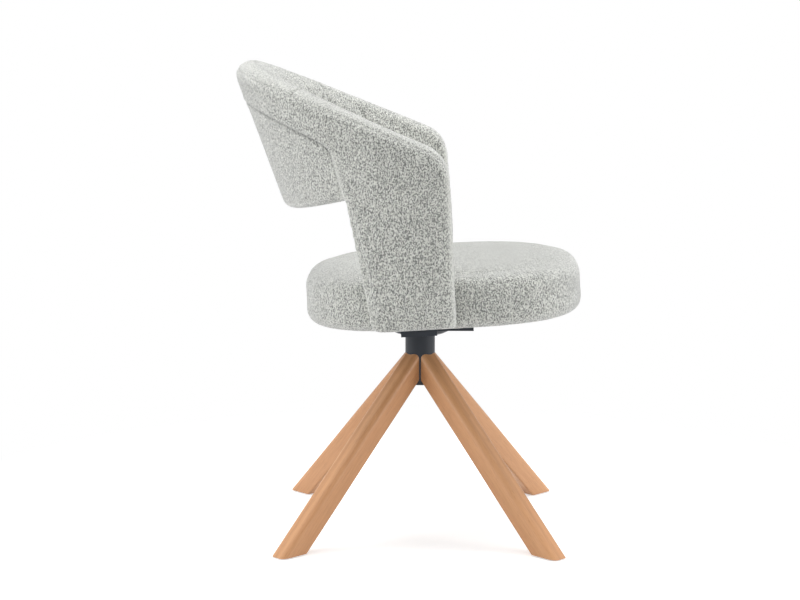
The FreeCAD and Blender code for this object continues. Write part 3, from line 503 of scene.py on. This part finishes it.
def side_loops(across, hand):
    """The closed section of one side part at each distance across it from its rear edge.

    The outer face runs from its foot straight up to BACK_LEVEL, and then up the back's own face to the
    rolled top. Both faces draw together at the two upright edges as quarter circles do, by
    e - sqrt(e^2 - into^2).
    """
    length = side_length()
    runs = SIDE_START * BACK_RADIUS + across
    base, normal, along, inward, turn = plan(runs, hand)
    share = across / length
    foot_z = (1 - share) * FOOT_REAR_HEIGHT + share * FOOT_FRONT_HEIGHT
    foot_y = (1 - share) * FOOT_REAR + share * FOOT_FRONT
    foot_x = BACK_RADIUS - (BACK_LEVEL - foot_z) * SIDE_TAPER - FOOT_CURVE * (1 - share) ** 2
    rear_lift = np.maximum(FOOT_LIFT - across, 0)
    foot_z = foot_z + FOOT_LIFT - np.sqrt(FOOT_LIFT ** 2 - rear_lift ** 2)
    foot = np.stack([hand * foot_x, foot_y, foot_z], axis=-1)
    top = crown(runs, hand) - corner_drop(across, length)
    into_front = np.maximum(across - (length - FRONT_ROUND), 0)
    into_rear = np.maximum(REAR_ROUND - across, 0)
    pinch = FRONT_ROUND - np.sqrt(np.maximum(FRONT_ROUND ** 2 - into_front ** 2, 0))
    pinch = pinch + REAR_ROUND - np.sqrt(np.maximum(REAR_ROUND ** 2 - into_rear ** 2, 0))
    inset = START_INSET
    edge = (inset + pinch)[:, None]
    corner = FOOT_ROUND - inset
    rise = base - foot
    rise_length = np.linalg.norm(rise, axis=-1)
    rise = rise / rise_length[:, None]

    def thickness(part):
        """Thickness from the foot, part 0, to BACK_LEVEL, part 1: a smooth step from THICKENS_FROM up."""
        ease = np.clip((part - THICKENS_FROM) / (1 - THICKENS_FROM), 0, 1)
        ease = ease * ease * (3 - 2 * ease)
        return SIDE_THICKNESS + (BACK_THICKNESS - SIDE_THICKNESS) * ease

    def low_face(part, depth):
        """Points between the foot and BACK_LEVEL, a given depth under the outer face."""
        height = rise_length[:, None] * part
        return foot[:, None] + rise[:, None] * height[..., None] - normal[:, None] * depth[..., None]

    def high_face(distance, depth):
        """Points above BACK_LEVEL."""
        return base[:, None] + along[:, None] * distance[..., None] + inward[:, None] * depth[..., None]

    start = ((FOOT_ROUND + 0 * rise_length) / rise_length)[:, None]
    step = np.linspace(0, 1, SIDE_STEPS)[None, :]
    part = start + (1 - start) * step
    outer_low = low_face(part, edge + 0 * part)
    step = np.linspace(0, 1, EDGE_STEPS)[None, 1:]
    top_column = top[:, None]
    outer_high = high_face(top_column * step, edge + 0 * step * top_column)
    radius = np.maximum(BACK_THICKNESS / 2 - edge, 2 * LEAST)
    roll_across, roll_up = rolled(arc(180, 0, ROLL_STEPS)[None, 1:-1], radius)
    roll = high_face(top_column + roll_up, BACK_THICKNESS / 2 + roll_across)
    inner_high = high_face(top_column * step[:, ::-1], BACK_THICKNESS - edge + 0 * step * top_column)
    part = part[:, ::-1]
    inner_low = low_face(part, thickness(part) - edge)
    a = arc(0, -90, FOOT_STEPS)[None, 1:]
    room = np.maximum(np.minimum(corner, SIDE_THICKNESS / 2 - edge - LEAST), LEAST)
    height = (FOOT_ROUND + corner * np.sin(a)) / rise_length[:, None]
    inner_foot = low_face(height, SIDE_THICKNESS - edge - room + room * np.cos(a))
    a = arc(270, 180, FOOT_STEPS)[None, :-1]
    height = (FOOT_ROUND + corner * np.sin(a)) / rise_length[:, None]
    outer_foot = low_face(height, edge + room + room * np.cos(a))
    parts = [outer_low, outer_high, roll, inner_high, inner_low, inner_foot, outer_foot]
    return np.concatenate(parts, axis=1)


def back_seams():
    """The sewn lines of the back: the points, depth and painted shade of each line.

    The rear seam falls with 1 - cos(turn), by SEAM_FALL, and bends down at its ends by
    SEAM_END * (run / limit)^SEAM_END_POWER. It goes on down the panel's edge. The others follow the rolled
    crest, and the inner face from the crest down.
    """
    lines = []
    limit = SIDE_START * BACK_RADIUS
    length = limit + side_length()
    roll = BACK_THICKNESS / 2
    inner_turn = 1 - math.cos(INNER_SEAM)
    for hand in (-1, 1):
        runs = np.arange(0, limit - SEAM_SHORT, SEAM_STEP)
        base, normal, along, inward, turn = plan(runs, hand)
        end = SEAM_END * (runs / limit) ** SEAM_END_POWER
        height = SEAM_HEIGHT - SEAM_FALL * (1 - np.cos(turn)) - end
        rise = ((height - BACK_LEVEL) / along[:, 2])[:, None]
        line = base + along * rise + inward * SEAM_UNDER
        lines.append((line, REAR_SEAM_DEPTH, REAR_SEAM_SHADE))

        base, normal, along, inward, turn = plan(np.full(LINE_POINTS, limit - SEAM_SHORT), hand)
        lower = LOWER_HEIGHT + LOWER_RISE * (1 - math.cos(SIDE_START)) + SEAM_BELOW
        rise = ((np.linspace(line[-1][2], lower, LINE_POINTS) - BACK_LEVEL) / along[:, 2])[:, None]
        line = base + along * rise + inward * 2 * SEAM_UNDER
        # The seam down the panel's edge carries painted shade that fades downwards
        lines.append((line, REAR_SEAM_DEPTH / 2, np.linspace(*PANEL_SEAM_SHADE, LINE_POINTS)))

        runs = np.arange(0, length - CREST_SHORT, SEAM_STEP)
        base, normal, along, inward, turn = plan(runs, hand)
        top = crown(runs, hand) - corner_drop(runs, length)
        across, up = rolled(CREST_SEAM, roll)
        # Painted shade under the crest seam, only towards the front of each arm
        dark = CREST_SEAM_SHADE * np.clip((runs - CREST_SHADE_FROM) / CREST_SHADE_FADE, 0, 1)
        line = base + along * (top + up)[:, None] + inward * (roll + across)
        lines.append((line, CREST_SEAM_DEPTH, dark))

        run = np.array([INNER_SEAM * BACK_RADIUS])
        base, normal, along, inward, turn = plan(run, hand)
        top = crown(run, hand)[0]
        across, up = rolled(np.linspace(CREST_SEAM, 0, LINE_POINTS)[:, None], roll)
        line = base + along * (top + up) + inward * (roll + across)
        lines.append((line, INNER_SEAM_DEPTH, INNER_SEAM_SHADE_ABOVE))
        foot = (LOWER_HEIGHT + LOWER_RISE * inner_turn - BACK_LEVEL) / along[0, 2] + LOWER_ROUND
        down = np.linspace(0, 1, 2 * LINE_POINTS)[:, None]
        bulge = BULGE * np.sin(np.pi * down)
        line = base + along * (top + (foot - top) * down) + inward * (2 * roll + bulge)
        lines.append((line, INNER_SEAM_DEPTH, INNER_SEAM_SHADE))
    return lines


def back_highlight_lines():
    """The lines of painted highlight on the back's turned edges: a side's two ends, and the crest."""
    lines = []
    length = SIDE_START * BACK_RADIUS + side_length()
    steps = np.linspace(0, 1, EDGE_PARTS, endpoint=False)[:, None, None]
    for hand in (-1, 1):
        ends = side_loops(np.array([EDGE_START, side_length() - START_INSET]), hand)
        rear, front = [(loop + (np.roll(loop, -1, axis=0) - loop) * steps).reshape(-1, 3) for loop in ends]
        lines.append((rear[rear[:, 2] < EDGE_TOP], EDGE_HIGHLIGHT_WIDTH, EDGE_HIGHLIGHT))
        lines.append((front, EDGE_HIGHLIGHT_WIDTH, EDGE_HIGHLIGHT))
        runs = np.arange(0, length - CREST_SHORT, HIGHLIGHT_STEP)
        base, normal, along, inward, turn = plan(runs, hand)
        across, up = rolled(CREST_MIDDLE, BACK_THICKNESS / 2)
        line = base + along * (crown(runs, hand) + up)[:, None] + inward * (BACK_THICKNESS / 2 + across)
        lines.append((line, CREST_HIGHLIGHT_WIDTH, CREST_HIGHLIGHT))
    return lines


def join(name, pieces):
    """Several pieces as one."""
    points, faces, shift = [], [], 0
    for piece in pieces:
        points.append(read_points(piece.data))
        faces += [[number + shift for number in face.vertices] for face in piece.data.polygons]
        shift += len(points[-1])
        bpy.data.objects.remove(piece)
    return new_mesh(name, np.concatenate(points), faces)


def make_back():
    """The upholstered back: its rear part and two side parts under one tight cover, with its seams."""
    limit = SIDE_START * BACK_RADIUS + SIDE_OVERLAP
    halves = [rear_loops(np.linspace(0, limit, REAR_SECTIONS), hand) for hand in (-1, 1)]
    rear = closed_tube("rear", np.concatenate([halves[0][::-1], halves[1][1:]]))
    across = side_length() * (1 - np.cos(np.linspace(0, np.pi, SIDE_SECTIONS))) / 2
    across[0] = EDGE_START
    across[-1] = side_length() - START_INSET
    sides = [closed_tube("side", side_loops(across, hand)) for hand in (-1, 1)]
    for piece in [rear] + sides:
        face_outwards(piece)
    back = join("back_upholstery", [rear] + sides)
    remesh(back)
    swell(back)
    subdivide(back)
    press_seams(back, back_seams(), SEAM_WIDTH)
    # A painted highlight along the turned edges
    paint_edge_highlights(back, back_highlight_lines())
    shade_smooth(back)
    return back


# The seat

def seat_place(points):
    """Points on the seat's own underside plane, moved to its tilted place."""
    x, y, z = points[..., 0], points[..., 1], points[..., 2]
    cosine, sine = math.cos(SEAT_TILT), math.sin(SEAT_TILT)
    moved = [x, y * cosine + z * sine - SEAT_FORWARD, -y * sine + z * cosine + SEAT_UNDER]
    return np.stack(moved, axis=-1)


def seat_rings(insets, heights, count=SEAT_SECTIONS):
    """Superellipses |x / a|^n + |y / b|^n = 1, with a and b drawn in by each inset, at each height."""
    turn = np.linspace(0, 2 * np.pi, count, endpoint=False)[None, :]
    wide = np.maximum(SEAT_HALF_WIDTH - insets, LEAST / 2)[:, None]
    long = np.maximum(SEAT_HALF_LENGTH - insets, LEAST / 2)[:, None]
    across, up = np.cos(turn), np.sin(turn)
    reach = np.abs(across / wide) ** SEAT_POWER + np.abs(up / long) ** SEAT_POWER
    reach = reach ** (-1 / SEAT_POWER)
    return np.stack([reach * across, reach * up, heights[:, None] + 0 * reach], axis=-1)


def seat_profile():
    """Inset from the seat's edge and height above its underside, from the middle below to the middle above.

    Over the top the height is SEAT_EDGE + SEAT_CROWN * (1 - (1 - share)^SEAT_CROWN_POWER).
    """
    inset = START_INSET
    low = SEAT_LOW_ROUND - inset
    high = SEAT_TOP_ROUND - inset
    middle = SEAT_HALF_WIDTH - LEAST
    flat = [(middle, inset), (COVER_RETURN, inset), (SEAT_LOW_ROUND, inset)]
    a = arc(90, 0, EDGE_STEPS)[1:]
    lower = [(SEAT_LOW_ROUND - low * math.cos(t), SEAT_LOW_ROUND - low * math.sin(t)) for t in a]
    a = arc(0, 90, EDGE_STEPS)
    centre = SEAT_EDGE - SEAT_TOP_ROUND
    upper = [(SEAT_TOP_ROUND - high * math.cos(t), centre + high * math.sin(t)) for t in a]
    share = np.linspace(0, 1, SEAT_RINGS)[1:]
    across = SEAT_TOP_ROUND + (middle - SEAT_TOP_ROUND) * share
    crowned = SEAT_EDGE - inset + SEAT_CROWN * (1 - (1 - share) ** SEAT_CROWN_POWER)
    return np.array(flat + lower + upper + list(zip(across, crowned)))


def seat_height(points):
    """Height of points above the seat's own underside plane."""
    forward = (points[:, 1] + SEAT_FORWARD) * math.sin(SEAT_TILT)
    return forward + (points[:, 2] - SEAT_UNDER) * math.cos(SEAT_TILT)


def make_seat():
    """The round seat: a crowned closed cushion with a sewn line round its upper edge."""
    profile = seat_profile()
    loops = seat_place(seat_rings(profile[:, 0], profile[:, 1]))
    seat = closed_tube("seat_upholstery", loops)
    face_outwards(seat)
    remesh(seat)
    height = seat_height(read_points(seat.data))
    swell(seat, np.clip((height - STEADY_UNDER) / STEADY_FADE, 0, 1))
    subdivide(seat)
    lift = SEAT_SEAM - (SEAT_EDGE - SEAT_TOP_ROUND)
    inset = SEAT_TOP_ROUND - math.sqrt(SEAT_TOP_ROUND ** 2 - lift ** 2)
    seam = seat_place(seat_rings(np.array([inset]), np.array([SEAT_SEAM]), SEAM_POINTS))[0]
    press_seams(seat, [(seam, SEAT_SEAM_DEPTH, 0.0)], SEAM_WIDTH)
    shade_smooth(seat)
    return seat


def make_lining():
    """The thin cloth stapled flat under the seat, with small puckers between its staples.

    Its faces lie at -gap + pucker * sin(n * turn) * exp(-(inset - edge) / fade), half its thickness
    below and above.
    """
    outwards = np.linspace(SEAT_HALF_WIDTH - LEAST, LINING_INSET, LINING_RINGS)
    insets = np.concatenate([outwards, outwards[::-1]])
    turn = np.linspace(0, 2 * np.pi, LINING_POINTS, endpoint=False)[None, :]
    loops = seat_rings(insets, np.full(2 * LINING_RINGS, -LINING_GAP), LINING_POINTS)
    fade = np.exp(-(insets[:, None] - LINING_INSET) / LINING_FADE)
    half = np.repeat([-LINING_THICKNESS / 2, LINING_THICKNESS / 2], LINING_RINGS)[:, None]
    loops[..., 2] += LINING_PUCKER * np.sin(LINING_STAPLES * turn) * fade + half
    lining = closed_tube("seat_lining", seat_place(loops))
    face_outwards(lining)
    shade_smooth(lining)
    return lining


# Materials

class Value:
    """A node's output, with the operators that add Math nodes to its paint."""

    def __init__(self, paint, socket):
        self.paint = paint
        self.socket = socket

    def math(self, operation, first, second=0.0):
        """A Math node on these two."""
        return self.paint.add("ShaderNodeMath", {"operation": operation}, {0: first, 1: second})

    def __add__(self, other):
        return self.math("ADD", self, other)

    def __radd__(self, other):
        return self.math("ADD", other, self)

    def __sub__(self, other):
        return self.math("SUBTRACT", self, other)

    def __rsub__(self, other):
        return self.math("SUBTRACT", other, self)

    def __mul__(self, other):
        return self.math("MULTIPLY", self, other)

    def __rmul__(self, other):
        return self.math("MULTIPLY", other, self)

    def step(self, low, high):
        """0 below low, 1 above high, smooth between them."""
        return self.paint.add("ShaderNodeMapRange", {"interpolation_type": "SMOOTHSTEP"},
                              {"Value": self, "From Min": low, "From Max": high})


class Paint:
    """A material, or the world, in the making."""

    def __init__(self, owner, output="ShaderNodeOutputMaterial"):
        owner.use_nodes = True
        self.owner = owner
        self.tree = owner.node_tree
        self.tree.nodes.clear()
        self.output = self.tree.nodes.new(output)

    def pick(self, sockets, key):
        """A socket by its number, or the one in use that has the name."""
        if isinstance(key, int):
            return sockets[key]
        return next(socket for socket in sockets if socket.name == key and socket.enabled)

    def add(self, kind, settings=None, inputs=None, output=0):
        """A node of that kind: its settings, then the values or links of its sockets. Gives one output."""
        node = self.tree.nodes.new(kind)
        for name, value in (settings or {}).items():
            setattr(node, name, value)
        for key, value in (inputs or {}).items():
            socket = self.pick(node.inputs, key)
            if isinstance(value, Value):
                self.tree.links.new(value.socket, socket)
            elif isinstance(value, tuple) and socket.type == "RGBA":
                socket.default_value = (*value, 1.0)
            else:
                socket.default_value = value
        return Value(self, self.pick(node.outputs, output))

    def place(self, turn=(0.0, 0.0, 0.0), size=(1.0, 1.0, 1.0)):
        """Object coordinates turned back by the given angles and scaled."""
        coordinates = self.add("ShaderNodeTexCoord", output="Object")
        turned = self.add("ShaderNodeMapping", {"vector_type": "TEXTURE"},
                          {"Vector": coordinates, "Rotation": turn})
        return self.stretch(turned, size)

    def stretch(self, place, size):
        """A place with each of its axes scaled."""
        return self.add("ShaderNodeMapping", {"vector_type": "POINT"}, {"Vector": place, "Scale": size})

    def noise(self, place, scale, detail=2.0, roughness=0.5, output=0):
        """Soft noise with so many cells to the metre, as one number or, from the output Color, as three."""
        inputs = {"Vector": place, "Scale": scale, "Detail": detail, "Roughness": roughness}
        return self.add("ShaderNodeTexNoise", {}, inputs, output=output)

    def bump(self, strength, distance, height):
        """The normal of a surface with small relief of that height."""
        inputs = {"Strength": strength, "Distance": distance, "Height": height}
        return self.add("ShaderNodeBump", {}, inputs)

    def mix(self, factor, first, second):
        """A blend of two colours."""
        inputs = {"Factor": factor, "A": first, "B": second}
        return self.add("ShaderNodeMix", {"data_type": "RGBA"}, inputs, output="Result")

    def seen(self):
        """1 for what is seen straight, mirrored or through glass, and 0 for what only gives light."""
        camera, mirror, glass = [self.add("ShaderNodeLightPath", output=kind)
                                 for kind in ("Is Camera Ray", "Is Glossy Ray", "Is Transmission Ray")]
        return camera.math("MAXIMUM", camera.math("MAXIMUM", camera, mirror), glass)

    def show(self, shader):
        """The shader as the surface. Gives the material."""
        self.tree.links.new(shader.socket, self.output.inputs["Surface"])
        return self.owner

    def finish(self, inputs):
        """The surface shader with these values and links."""
        return self.show(self.add("ShaderNodeBsdfPrincipled", {}, inputs))


def new_paint(name):
    """The paint of a new material."""
    return Paint(bpy.data.materials.new(name))


def grey(level):
    """A colour with that much of red, green and blue."""
    return (level, level, level)


def shade(colour, factor):
    """The colour made lighter or darker."""
    return tuple(factor * channel for channel in colour)


def boucle(name):
    """Looped boucle cloth: small upright curls of light and grey yarn, with painted shade making the sewn
    lines a little darker.

    How dark a spot is: 0.70 of the grey yarn, 0.30 of painted shade in the hollows between curls, 0.20 of
    fine fuzz and 0.20 of broad patches, less 0.20 and smoothed. The turned edges lose it by their attribute
    "rim", which paints a highlight on them, and the attribute "seam" then paints shade along the sewn
    lines.
    """
    paint = new_paint(name)
    place = paint.place(size=CURL_STRETCH)
    warp = paint.noise(place, YARN_SCALE, roughness=0.6, output="Color")
    shift = paint.add("ShaderNodeVectorMath", {"operation": "MULTIPLY_ADD"},
                      {0: warp, 1: grey(CURL_WANDER), 2: place})
    curls = paint.add("ShaderNodeTexVoronoi", {"feature": "F1"}, {"Vector": shift, "Scale": CURL_SCALE},
                      output="Distance")
    yarn = paint.noise(shift, YARN_SCALE, roughness=0.55)
    patch = paint.noise(place, PATCH_SCALE)
    fuzz = paint.noise(place, FUZZ_SCALE, detail=1.0)
    # Painted shade in the hollows between curls, darker away from each curl's middle
    hollow_shade = curls.step(0.25, 0.80)
    dark = yarn.step(0.40, 0.62)
    mask = dark * 0.70 + hollow_shade * 0.30 + fuzz * 0.20 + patch * 0.20 - 0.20
    # Painted highlight: the turned edges lose the darkness and show lighter
    painted_highlight = paint.add("ShaderNodeAttribute", {"attribute_name": "painted_highlight"}, output="Fac")
    # Painted shade along the sewn lines
    seam = paint.add("ShaderNodeAttribute", {"attribute_name": "seam"}, output="Fac")
    cloth = paint.mix(mask.step(0.0, 1.0) * (1.0 - painted_highlight), BOUCLE_LIGHT, BOUCLE_DARK)
    height = (1.0 - curls) * 0.8 + fuzz * 0.25 - dark * 0.45
    return paint.finish({
        "Base Color": paint.mix(seam * SEAM_SHADE, cloth, BOUCLE_SEAM_SHADE),
        "Roughness": 0.95,
        "Normal": paint.bump(BOUCLE_BUMP, BOUCLE_RELIEF, height),
        "Sheen Weight": 1.0,
        "Sheen Roughness": 0.34,
        "Specular IOR Level": 0.15,
    })


def beech(name, azimuth, pitch):
    """Lacquered beech with its grain along one leg: long fibres, short pores and faint growth rings.

    How dark a spot is: 0.75 of the fibres and 0.16 of the rings, plus 0.12 and smoothed. The rings are
    sin(RING_PITCH * across + RING_WANDER * wander), and the pores darken it further.
    """
    paint = new_paint(name)
    grain = paint.stretch(paint.place((0.0, pitch, azimuth)), GRAIN_STRETCH)
    wander = paint.noise(grain, WANDER_SCALE)
    across = paint.add("ShaderNodeSeparateXYZ", {}, {0: grain}, output="Y")
    wave = across * RING_PITCH + wander * RING_WANDER
    rings = paint.add("ShaderNodeMath", {"operation": "SINE"}, {0: wave})
    fibres = paint.noise(grain, FIBRE_SCALE, detail=3.0, roughness=0.65)
    pores = paint.noise(grain, PORE_SCALE, detail=1.0)
    tone = rings * 0.16 + fibres * 0.75 + 0.12
    flecks = pores.step(0.63, 0.72) * 0.35
    wood = paint.mix(tone.step(0.15, 0.95), BEECH_LIGHT, BEECH_DARK)
    return paint.finish({
        "Base Color": paint.mix(flecks, wood, BEECH_PORE),
        "Roughness": fibres * 0.18 + 0.36,
        "Normal": paint.bump(0.12, 0.0004, fibres - flecks),
        "Coat Weight": 0.08,
        "Coat Roughness": 0.35,
    })


def metal_coat(name, colour, roughness, grain, metallic=0.0):
    """A coated or plated metal, or moulded plastic, with a fine even grain and slightly darker patches."""
    paint = new_paint(name)
    place = paint.place()
    fine = paint.noise(place, grain, roughness=0.6)
    broad = paint.noise(place, 30.0)
    return paint.finish({
        "Base Color": paint.mix(broad.step(0.3, 0.7), colour, shade(colour, 0.75)),
        "Roughness": fine * 0.2 + roughness,
        "Metallic": metallic,
        "Normal": paint.bump(0.25, 0.0002, fine),
        "Specular IOR Level": 0.35,
    })


def felt(name, colour):
    """Thin felted cloth: lighter fibres over its own colour."""
    paint = new_paint(name)
    fibres = paint.noise(paint.place(), 700.0, detail=3.0, roughness=0.7)
    return paint.finish({
        "Base Color": paint.mix(fibres.step(0.35, 0.7), colour, shade(colour, 2.2)),
        "Roughness": 0.9,
        "Normal": paint.bump(0.4, 0.0004, fibres),
    })


def dress(node, material):
    """A frame piece's finish."""
    mesh = frame["nodes"][node].data
    mesh.materials.clear()
    mesh.materials.append(material)


def dress_frame():
    """Finishes for every piece of the frame that stays in sight or behind what is."""
    for node, turn in LEG_TURNS.items():
        dress(node, beech(node + "_beech", math.radians(turn), LEG_PITCH))
    finishes = {
        "coated_steel": metal_coat("coated_steel", STEEL_COAT, 0.32, 1500.0),
        "bright_steel": metal_coat("bright_steel", BRIGHT_STEEL, 0.24, 900.0, 1.0),
        "plastic": metal_coat("black_plastic", BLACK_PLASTIC, 0.45, 1200.0),
        "plywood": beech("plywood", 0.0, 0.0),
        "lining": felt("lining", LINING_BLACK),
    }
    for part in frame["record"]["subparts"]:
        if part["material_slot"] in finishes:
            dress(part["node"], finishes[part["material_slot"]])


# The studio

def make_floor():
    """A pale floor that shows white, with the chair's soft shadow on it.

    Where it is seen it glows a little, and more with its distance from the chair, so that it ends in white.
    """
    corners = [(-1, -1, 0), (1, -1, 0), (1, 1, 0), (-1, 1, 0)]
    floor = new_mesh("floor", FLOOR_SIZE * np.array(corners), [(0, 1, 2, 3)])
    paint = new_paint("floor_white")
    matt = paint.add("ShaderNodeBsdfDiffuse", {}, {"Color": grey(FLOOR_GREY)})
    glow = paint.add("ShaderNodeEmission", {}, {"Color": grey(1.0), "Strength": FLOOR_GLOW})
    near = paint.add("ShaderNodeAddShader", {}, {0: matt, 1: glow})
    white = paint.add("ShaderNodeEmission", {}, {"Color": grey(1.0), "Strength": 1.0})
    place = paint.add("ShaderNodeTexCoord", output="Object")
    distance = paint.add("ShaderNodeVectorMath", {"operation": "LENGTH"}, {0: place}, output="Value")
    far = distance.step(WHITE_FROM, WHITE_TO)
    shown = paint.add("ShaderNodeMixShader", {}, {0: far, 1: near, 2: white})
    surface = paint.add("ShaderNodeMixShader", {}, {0: paint.seen(), 1: matt, 2: shown})
    floor.data.materials.append(paint.show(surface))


def make_world():
    """Even white surroundings, shown as pure white behind the chair."""
    world = bpy.data.worlds.new("studio")
    bpy.context.scene.world = world
    paint = Paint(world, "ShaderNodeOutputWorld")
    light = paint.add("ShaderNodeBackground", {}, {"Color": WORLD_COLOUR, "Strength": WORLD_LIGHT})
    white = paint.add("ShaderNodeBackground", {}, {"Color": grey(1.0), "Strength": 1.0})
    paint.show(paint.add("ShaderNodeMixShader", {}, {0: paint.seen(), 1: light, 2: white}))


def add_lamp(name, place, target, size, power):
    """A soft square lamp turned towards a point."""
    lamp = bpy.data.lights.new(name, "AREA")
    lamp.shape = "SQUARE"
    lamp.size = size
    lamp.energy = power
    item = bpy.data.objects.new(name, lamp)
    item.location = place
    item.rotation_euler = (Vector(target) - Vector(place)).to_track_quat("-Z", "Y").to_euler()
    bpy.context.scene.collection.objects.link(item)


def make_camera():
    """The camera where the photograph was taken from: turned a little, and tilted down at the chair."""
    camera = bpy.data.cameras.new("camera")
    camera.sensor_width = CAMERA_SENSOR
    camera.lens = CAMERA_LENS
    level = Vector((math.cos(CAMERA_TURN), math.sin(CAMERA_TURN), 0))
    right = Vector((math.sin(CAMERA_TURN), -math.cos(CAMERA_TURN), 0))
    ahead = level * math.cos(CAMERA_TILT) - Vector((0, 0, math.sin(CAMERA_TILT)))
    above = level * math.sin(CAMERA_TILT) + Vector((0, 0, math.cos(CAMERA_TILT)))
    item = bpy.data.objects.new("camera", camera)
    turned = Matrix((right, above, -ahead)).transposed().to_4x4()
    item.matrix_world = Matrix.Translation(CAMERA_PLACE) @ turned
    bpy.context.scene.collection.objects.link(item)
    bpy.context.scene.camera = item


make_camera()
make_world()
make_floor()
for lamp in LAMPS:
    add_lamp(*lamp)
bpy.context.scene.view_settings.view_transform = "Standard"

dress_frame()

seat = make_seat()
seat.data.materials.append(boucle("seat_boucle"))
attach(seat, "seat")
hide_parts("seat_foam", "seat_top_cover", "seat_side_cover")

lining = make_lining()
lining.data.materials.append(felt("lining_cloth", LINING_BLACK))
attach(lining, "seat")
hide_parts("dust_cover")

back = make_back()
back.data.materials.append(boucle("back_boucle"))
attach(back, "seat")
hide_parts("back_foam", "side_foam_right", "side_foam_left", "rear_panel_cover", "inner_back_cover",
            "inner_arm_cover_right", "inner_arm_cover_left", "outer_cover")
